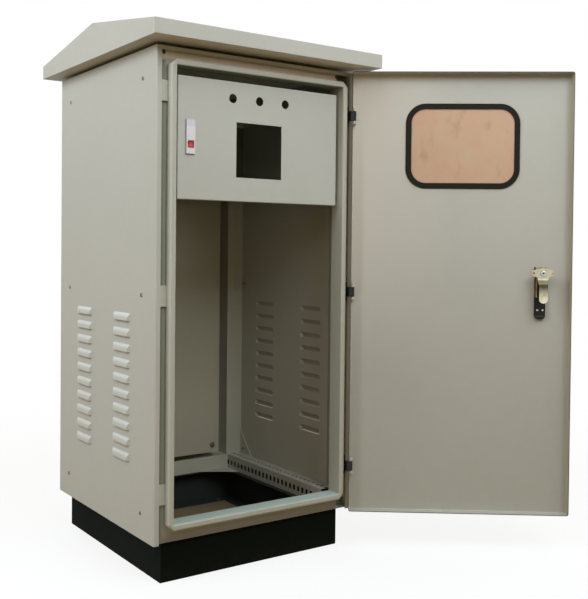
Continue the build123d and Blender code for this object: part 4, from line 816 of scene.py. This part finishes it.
SLOT_COATS: dict[str, Coat] = {
    "body_paint": Coat.BODY,
    "frame_paint": Coat.FRAME,
    "plinth_black": Coat.PLINTH,
    "hinge_black": Coat.HINGE,
    "zinc_plate": Coat.ZINC,
    "yellow_zinc": Coat.YELLOW_ZINC,
    "black_rubber": Coat.RUBBER,
    "tan_film": Coat.FILM,
    "lock_black": Coat.LOCK,
    "housing_plastic": Coat.HOUSING,
    "cylinder_chrome": Coat.CHROME,
    "switch_white": Coat.WHITE,
    "toggle_red": Coat.RED,
}
NODE_COATS: dict[str, Coat] = {
    "instrument_panel": Coat.INSTRUMENTS,
    "door_pan": Coat.DOOR,
    "side_panel_left": Coat.SIDE,
    "side_panel_right": Coat.SIDE,
    "base_rail_left": Coat.RAIL,
    "base_rail_right": Coat.RAIL,
    "roof_soffit": Coat.SOFFIT,
    "mounting_plate": Coat.PLATE,
    "rear_rail_lower": Coat.INNER,
    "rear_rail_upper": Coat.INNER,
    "rear_post_left": Coat.INNER,
    "rear_post_right": Coat.INNER,
    "lock_bracket": Coat.BRACKET,
}


class SheetMetal:
    """The CAD pieces, dressed in the finishes of their slots."""

    def __init__(self, wardrobe: Wardrobe) -> None:
        """Keeps the place where materials come from."""
        self.wardrobe = wardrobe

    def dress(self) -> None:
        """Gives every CAD node its procedural material."""
        for entry in frame["record"]["subparts"]:
            node = frame["nodes"][entry["node"]]
            coat = NODE_COATS.get(entry["node"], SLOT_COATS[entry["material_slot"]])
            node.data.materials.clear()
            node.data.materials.append(self.wardrobe.get(coat))
            LOG.info("%s wears %s", entry["node"], coat.value.name)


@dataclass(frozen=True)
class HeadSizes:
    """Sizes of one kind of screw or bolt, in metres."""

    sides: int = 24
    head_radius: float = 0.005
    head_height: float = 0.0015
    crown: float = 0.0011
    recess_length: float = 0.0062
    recess_width: float = 0.0011
    recess_depth: float = 0.0014
    washer_radius: float = 0.0
    washer_height: float = 0.0
    shank_radius: float = 0.0025
    shank_length: float = 0.0115


class FastenerTree:
    """Geometry node tree that sets a screw or bolt on each point of a carrier mesh."""

    SIZES: tuple[tuple[str, str], ...] = (
        ("Head Radius", "head_radius"), ("Head Height", "head_height"), ("Crown", "crown"),
        ("Recess Length", "recess_length"), ("Recess Width", "recess_width"), ("Recess Depth", "recess_depth"),
        ("Washer Radius", "washer_radius"), ("Washer Height", "washer_height"),
        ("Shank Radius", "shank_radius"), ("Shank Length", "shank_length"))
    DISC_SIDES = 24

    def __init__(self) -> None:
        """Builds the tree with its named inputs."""
        tree = bpy.data.node_groups.new("fastener_heads", "GeometryNodeTree")
        self.tree = tree
        tree.interface.new_socket("Geometry", in_out="INPUT", socket_type="NodeSocketGeometry")
        kinds = [(label, FLOAT) for label, _ in self.SIZES]
        kinds += [("Sides", "NodeSocketInt"), ("Seed", "NodeSocketInt"), ("Coat", "NodeSocketMaterial")]
        self.keys = {label: tree.interface.new_socket(label, in_out="INPUT", socket_type=kind).identifier
                     for label, kind in kinds}
        tree.interface.new_socket("Geometry", in_out="OUTPUT", socket_type="NodeSocketGeometry")
        w = Wiring(tree)
        given = w.add("NodeGroupInput").outputs
        out = w.add("NodeGroupOutput")
        parts = (self._head(w, given), self._disc(w, given["Washer Radius"], given["Washer Height"], 0.5),
                 self._disc(w, given["Shank Radius"], given["Shank Length"], -0.5))
        whole = w.add("GeometryNodeJoinGeometry")
        for part in parts:
            w.feed(whole, {0: part})
        facing = w.add("GeometryNodeInputNamedAttribute", {"Name": "facing"}, data_type="FLOAT_VECTOR")
        upright = w.add("FunctionNodeAlignRotationToVector", {"Vector": facing.outputs["Attribute"]}, axis="Z")
        angle = w.add("FunctionNodeRandomValue", {3: math.tau, 8: given["Seed"]}, data_type="FLOAT")
        spin = w.add("FunctionNodeAxisAngleToRotation", {"Axis": (0, 0, 1), "Angle": angle.outputs[1]})
        turned = w.add("FunctionNodeRotateRotation", {0: upright.outputs[0], 1: spin.outputs[0]},
                       rotation_space="LOCAL")
        placed = w.add("GeometryNodeInstanceOnPoints", {"Points": given["Geometry"], "Instance": whole.outputs[0],
                                                        "Rotation": turned.outputs[0]})
        real = w.add("GeometryNodeRealizeInstances", {"Geometry": placed.outputs[0]})
        dressed = w.add("GeometryNodeSetMaterial", {"Geometry": real.outputs[0], "Material": given["Coat"]})
        w.feed(out, {0: dressed.outputs[0]})

    def _lifted(self, w: Wiring, geometry: Socket,
                rise: Socket) -> Socket:
        """Moves a shape along its own axis.

        Args:
            w: Wiring of the tree.
            geometry: Socket of the shape.
            rise: Socket of the distance.

        Returns:
            Socket of the moved shape.
        """
        offset = w.add("ShaderNodeCombineXYZ", {"Z": rise})
        return w.add("GeometryNodeTransform", {"Geometry": geometry, "Translation": offset.outputs[0]}).outputs[0]

    def _disc(self, w: Wiring, radius: Socket, depth: Socket, share: float) -> Socket:
        """Makes the washer above the sheet or the shank below it.

        Args:
            w: Wiring of the tree.
            radius: Socket of its radius.
            depth: Socket of its depth.
            share: Share of its depth by which it is lifted.

        Returns:
            Socket of the round piece.
        """
        disc = w.add("GeometryNodeMeshCylinder", {"Vertices": self.DISC_SIDES, "Radius": radius, "Depth": depth})
        return self._lifted(w, disc.outputs[0], w.times(depth, share))

    def _head(self, w: Wiring, given: bpy.types.NodeOutputs) -> Socket:
        """Makes the crowned head with its cross recess.

        Args:
            w: Wiring of the tree.
            given: Outputs of the tree's input node.

        Returns:
            Socket of the head, standing on its washer.
        """
        height = given["Head Height"]
        radius = given["Head Radius"]
        blank = w.add("GeometryNodeMeshCylinder", {"Vertices": given["Sides"], "Fill Segments": 4, "Radius": radius,
                                                   "Depth": height}, fill_type="TRIANGLE_FAN")
        spot = w.add("ShaderNodeSeparateXYZ", {0: w.add("GeometryNodeInputPosition").outputs[0]})
        squares = [w.math("POWER", w.math("DIVIDE", spot.outputs[name], radius), 2.0) for name in ("X", "Y")]
        inward = w.math("SUBTRACT", 1.0, w.math("ADD", *squares), clamp=True)
        upper = w.math("GREATER_THAN", spot.outputs["Z"], 0.0)
        rise = w.times(w.times(inward, upper), given["Crown"])
        offset = w.add("ShaderNodeCombineXYZ", {"Z": rise})
        domed = w.add("GeometryNodeSetPosition", {"Geometry": blank.outputs[0], "Offset": offset.outputs[0]})
        top = w.math("ADD", w.times(height, 0.5), given["Crown"])
        tall = w.times(given["Recess Depth"], 2.0)
        cut = w.add("GeometryNodeMeshBoolean", {0: domed.outputs[0]}, operation="DIFFERENCE")
        for sizes in (("Recess Length", "Recess Width"), ("Recess Width", "Recess Length")):
            block_size = w.add("ShaderNodeCombineXYZ", {"X": given[sizes[0]], "Y": given[sizes[1]], "Z": tall})
            block = w.add("GeometryNodeMeshCube", {"Size": block_size.outputs[0]})
            w.feed(cut, {1: self._lifted(w, block.outputs[0], top)})
        stand = w.math("ADD", w.times(height, 0.5), given["Washer Height"])
        return self._lifted(w, cut.outputs[0], stand)

    def make(self, name: str, places: Sequence[tuple], sizes: HeadSizes, coat: Material,
             seed: int) -> bpy.types.Object:
        """Makes one piece that holds a fastener at each place.

        Args:
            name: Name of the piece.
            places: Point and outward direction of each fastener, in metres.
            sizes: Their sizes.
            coat: Their material.
            seed: Seed of the way their recesses are turned.

        Returns:
            The piece, as a plain mesh.
        """
        carrier = bpy.data.meshes.new(f"{name}_points")
        carrier.from_pydata([point for point, _ in places], [], [])
        facing = carrier.attributes.new("facing", "FLOAT_VECTOR", "POINT")
        facing.data.foreach_set("vector", [value for _, direction in places for value in direction])
        piece = bpy.data.objects.new(name, carrier)
        bpy.context.scene.collection.objects.link(piece)
        modifier = piece.modifiers.new("heads", "NODES")
        modifier.node_group = self.tree
        for label, field_name in self.SIZES:
            modifier[self.keys[label]] = getattr(sizes, field_name)
        modifier[self.keys["Sides"]] = sizes.sides
        modifier[self.keys["Seed"]] = seed
        modifier[self.keys["Coat"]] = coat
        graph = bpy.context.evaluated_depsgraph_get()
        mesh = bpy.data.meshes.new_from_object(piece.evaluated_get(graph))
        piece.modifiers.remove(modifier)
        mesh.name = name
        piece.data = mesh
        bpy.data.meshes.remove(carrier)
        return piece


@dataclass(frozen=True)
class Fasteners:
    """Screws and bolts that hold the cabinet's panels, plate and hinges."""

    side_x: float = 0.300
    side_y: float = 0.228
    side_rows: tuple[float, ...] = (0.164, 0.697, 1.222)
    rear_x: float = 0.2645
    rear_y: float = 0.300
    rear_rows: tuple[float, ...] = (0.14953, 0.50490, 0.88760, 1.24297)
    plate_x: float = 0.184
    plate_y: float = 0.240
    plate_rows: tuple[float, ...] = (0.186, 1.177)
    hinge_x: float = 0.2775
    hinge_y: float = -0.298
    hinge_rows: tuple[float, ...] = (0.222, 0.697, 1.173)
    hinge_half: float = 0.019
    side_seed: int = 4
    rear_seed: int = 11
    plate_seed: int = 17
    hinge_seed: int = 23
    panel_head: HeadSizes = HeadSizes()
    plate_head: HeadSizes = HeadSizes(sides=6, head_radius=0.0065, head_height=0.0036, crown=0.0004,
                                      recess_length=0.0004, recess_width=0.0004, recess_depth=0.0003,
                                      washer_radius=0.0088, washer_height=0.0012, shank_radius=0.0039,
                                      shank_length=0.058)
    hinge_head: HeadSizes = HeadSizes(head_radius=0.0034, head_height=0.0006, crown=0.0005, recess_length=0.0042,
                                      recess_width=0.0008, recess_depth=0.0008, shank_radius=0.0016,
                                      shank_length=0.004)

    def build(self, wardrobe: Wardrobe) -> None:
        """Makes the screws and bolts and lets them ride on the cabinet.

        Args:
            wardrobe: Where materials come from.
        """
        tree = FastenerTree()
        dull = wardrobe.get(Coat.DULL_ZINC)
        for side, name in ((-1, "left"), (1, "right")):
            places = [((side * self.side_x, y, z), (side, 0, 0))
                      for z in self.side_rows for y in (-self.side_y, self.side_y)]
            piece = tree.make(f"side_screw_heads_{name}", places, self.panel_head, dull, self.side_seed + side)
            self._finish(piece, "zinc_plate", f"side_screws_{name}")
        places = [((x, self.rear_y, z), (0, 1, 0)) for z in self.rear_rows for x in (-self.rear_x, self.rear_x)]
        piece = tree.make("rear_screw_heads", places, self.panel_head, dull, self.rear_seed)
        self._finish(piece, "zinc_plate", "rear_screws")
        places = [((x, self.plate_y, z), (0, -1, 0))
                  for z in self.plate_rows for x in (-self.plate_x, self.plate_x)]
        piece = tree.make("plate_bolt_heads", places, self.plate_head, dull, self.plate_seed)
        self._finish(piece, "zinc_plate", "plate_bolts")
        places = [((self.hinge_x, self.hinge_y, row + side * self.hinge_half), (0, -1, 0))
                  for row in self.hinge_rows for side in (-1, 1)]
        piece = tree.make("hinge_base_screws", places, self.hinge_head, wardrobe.get(Coat.HINGE), self.hinge_seed)
        self._finish(piece, "hinge_black")

    def _finish(self, piece: bpy.types.Object, slot: str, *nodes: str) -> None:
        """Lets a piece ride on the cabinet and stand for the CAD nodes that it details.

        Args:
            piece: The finished piece.
            slot: The record's material slot of its finish; not used.
            *nodes: CAD nodes that it stands for.
        """
        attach(piece, "cabinet")
        if nodes:
            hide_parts(*nodes)
        LOG.info("%s has %d faces", piece.name, len(piece.data.polygons))


@dataclass
class Viewpoint:
    """The camera that took the photograph, in metres and pixels."""

    place: Point = (-1.2717, -2.1898, 0.8171)
    yaw: float = -34.2
    pitch: float = 1.05
    roll: float = 0.54
    focal: float = 892.3
    centre: tuple[float, float] = (264.8, 263.1)
    width: int = 588
    height: int = 599
    sensor: float = 36.0
    clip: tuple[float, float] = (0.05, 60.0)

    def set_up(self) -> None:
        """Makes the camera and makes it the scene's."""
        yaw, pitch, roll = (math.radians(v) for v in (self.yaw, self.pitch, self.roll))
        ahead = Vector((-math.sin(yaw) * math.cos(pitch), math.cos(yaw) * math.cos(pitch), -math.sin(pitch)))
        right = Vector((math.cos(yaw), math.sin(yaw), 0.0))
        up = right.cross(ahead)
        right_turned = right * math.cos(roll) + up * math.sin(roll)
        up_turned = up * math.cos(roll) - right * math.sin(roll)
        turn = Matrix((right_turned, up_turned, -ahead)).transposed()
        data = bpy.data.cameras.new("viewpoint")
        data.sensor_fit = "HORIZONTAL"
        data.sensor_width = self.sensor
        data.lens = self.focal / self.width * self.sensor
        data.shift_x = (self.width / 2 - self.centre[0]) / self.width
        data.shift_y = (self.centre[1] - self.height / 2) / self.width
        data.clip_start, data.clip_end = self.clip
        camera = bpy.data.objects.new("viewpoint", data)
        bpy.context.scene.collection.objects.link(camera)
        camera.matrix_world = Matrix.Translation(self.place) @ turn.to_4x4()
        bpy.context.scene.camera = camera


@dataclass
class SoftLamp:
    """A large, soft, square lamp."""

    name: str
    place: Point
    aim: Point
    size: float
    power: float
    tint: Light = (0.79, 0.885, 1.0)

    def hang(self) -> None:
        """Adds the lamp to the scene."""
        data = bpy.data.lights.new(self.name, "AREA")
        data.shape = "SQUARE"
        data.size = self.size
        data.energy = self.power
        data.color = self.tint
        lamp = bpy.data.objects.new(self.name, data)
        bpy.context.scene.collection.objects.link(lamp)
        lamp.location = self.place
        lamp.rotation_euler = (Vector(self.aim) - Vector(self.place)).to_track_quat("-Z", "Y").to_euler()


@dataclass
class Studio:
    """Pale floor, soft lamps and a plain white surround."""

    lamps: list[SoftLamp] = field(default_factory=lambda: [
        SoftLamp("front_near_lamp", (0.0, -2.4, 2.4), (0.1, -0.3, 0.8), 1.2, 31.0),
        SoftLamp("front_high_lamp", (0.4, -2.2, 4.0), (0.3, -0.3, 0.9), 1.8, 24.0),
        SoftLamp("front_left_lamp", (-2.2, -2.9, 3.0), (0.0, -0.3, 0.75), 2.2, 15.0),
        SoftLamp("door_lamp", (1.5, -2.2, 3.2), (0.5, -0.4, 1.0), 1.6, 22.0),
        SoftLamp("side_lamp", (-3.4, 0.2, 2.4), (-0.3, 0.0, 0.75), 2.2, 64.0),
        SoftLamp("side_near_lamp", (-2.1, -0.4, 2.3), (-0.3, -0.1, 0.9), 1.0, 19.0),
        SoftLamp("right_lamp", (3.2, -0.8, 2.8), (0.3, -0.3, 0.75), 2.2, 29.0),
        SoftLamp("rear_lamp", (0.4, 3.6, 2.6), (0.1, 0.1, 0.75), 2.4, 80.0),
    ])
    surround: Light = (1.0, 0.68, 0.16)
    surround_strength: float = 0.25
    floor_size: float = 14.0
    covered_half: tuple[float, float] = (0.262, 0.272)
    bare_ground: Light = (0.25, 0.19, 0.11)
    pale_grey: Light = (0.92, 0.92, 0.92)
    glow_range: tuple[float, float] = (1.0, 2.4)
    near_glow: float = 0.84

    def _seen(self, w: Wiring) -> Socket:
        """Builds the test for rays that see the surround directly, in gloss or through glass.

        Args:
            w: Wiring of the world or material.

        Returns:
            Socket that is 1 for such rays.
        """
        path = w.add("ShaderNodeLightPath")
        both = w.math("MAXIMUM", path.outputs["Is Camera Ray"], path.outputs["Is Glossy Ray"])
        return w.math("MAXIMUM", both, path.outputs["Is Transmission Ray"])

    def _sky(self) -> None:
        """Builds the world: white where it is seen, and a soft cool light elsewhere."""
        world = bpy.data.worlds.new("surround")
        world.use_nodes = True
        world.node_tree.nodes.clear()
        w = Wiring(world.node_tree)
        out = w.add("ShaderNodeOutputWorld")
        seen = self._seen(w)
        plain = w.add("ShaderNodeBackground", {"Color": (1, 1, 1, 1), "Strength": 1.0})
        soft = w.add("ShaderNodeBackground", {"Color": (*self.surround, 1), "Strength": self.surround_strength})
        both = w.add("ShaderNodeMixShader", {0: seen, 1: soft.outputs[0], 2: plain.outputs[0]})
        w.feed(out, {"Surface": both.outputs[0]})
        bpy.context.scene.world = world

    def _floor(self) -> None:
        """Lays the floor, which looks almost white, keeps the soft shadow and is bare ground inside the plinth."""
        mesh = bpy.data.meshes.new("floor")
        half = self.floor_size / 2
        points = [(-half, -half, 0), (half, -half, 0), (half, half, 0), (-half, half, 0)]
        mesh.from_pydata(points, [], [(0, 1, 2, 3)])
        floor = bpy.data.objects.new("floor", mesh)
        bpy.context.scene.collection.objects.link(floor)
        material = bpy.data.materials.new("pale_floor")
        material.use_nodes = True
        material.node_tree.nodes.clear()
        w = Wiring(material.node_tree)
        out = w.add("ShaderNodeOutputMaterial")
        seen = self._seen(w)
        place = w.add("ShaderNodeSeparateXYZ", {0: w.place()})
        across, along = (w.math("ABSOLUTE", place.outputs[name]) for name in ("X", "Y"))
        limits = zip((across, along), self.covered_half)
        beside, before = (w.math("GREATER_THAN", value, limit) for value, limit in limits)
        open_floor = w.math("MAXIMUM", beside, before)
        far = w.math("SQRT", w.math("ADD", w.times(across, across), w.times(along, along)))
        glow_share = w.times(w.spread(far, *self.glow_range, self.near_glow, 1.0), open_floor)
        bounce = w.add("ShaderNodeBsdfDiffuse", {"Color": (*self.bare_ground, 1)})
        shaded = w.add("ShaderNodeBsdfDiffuse", {"Color": (*self.pale_grey, 1)})
        covered = w.add("ShaderNodeMixShader", {0: open_floor, 1: bounce.outputs[0], 2: shaded.outputs[0]})
        glow = w.add("ShaderNodeEmission")
        pale = w.add("ShaderNodeMixShader", {0: glow_share, 1: covered.outputs[0], 2: glow.outputs[0]})
        both = w.add("ShaderNodeMixShader", {0: seen, 1: bounce.outputs[0], 2: pale.outputs[0]})
        w.feed(out, {"Surface": both.outputs[0]})
        mesh.materials.append(material)

    def set_up(self) -> None:
        """Builds the whole studio."""
        self._sky()
        self._floor()
        for lamp in self.lamps:
            lamp.hang()
        bpy.context.scene.view_settings.view_transform = "Standard"


def main() -> None:
    """Dresses the CAD pieces, adds the scene's own and sets the studio up."""
    logging.basicConfig(level=logging.INFO, format="%(message)s")
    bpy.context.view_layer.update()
    Viewpoint().set_up()
    Studio().set_up()
    wardrobe = Wardrobe()
    SheetMetal(wardrobe).dress()
    Fasteners().build(wardrobe)


if __name__ == "__main__":
    main()
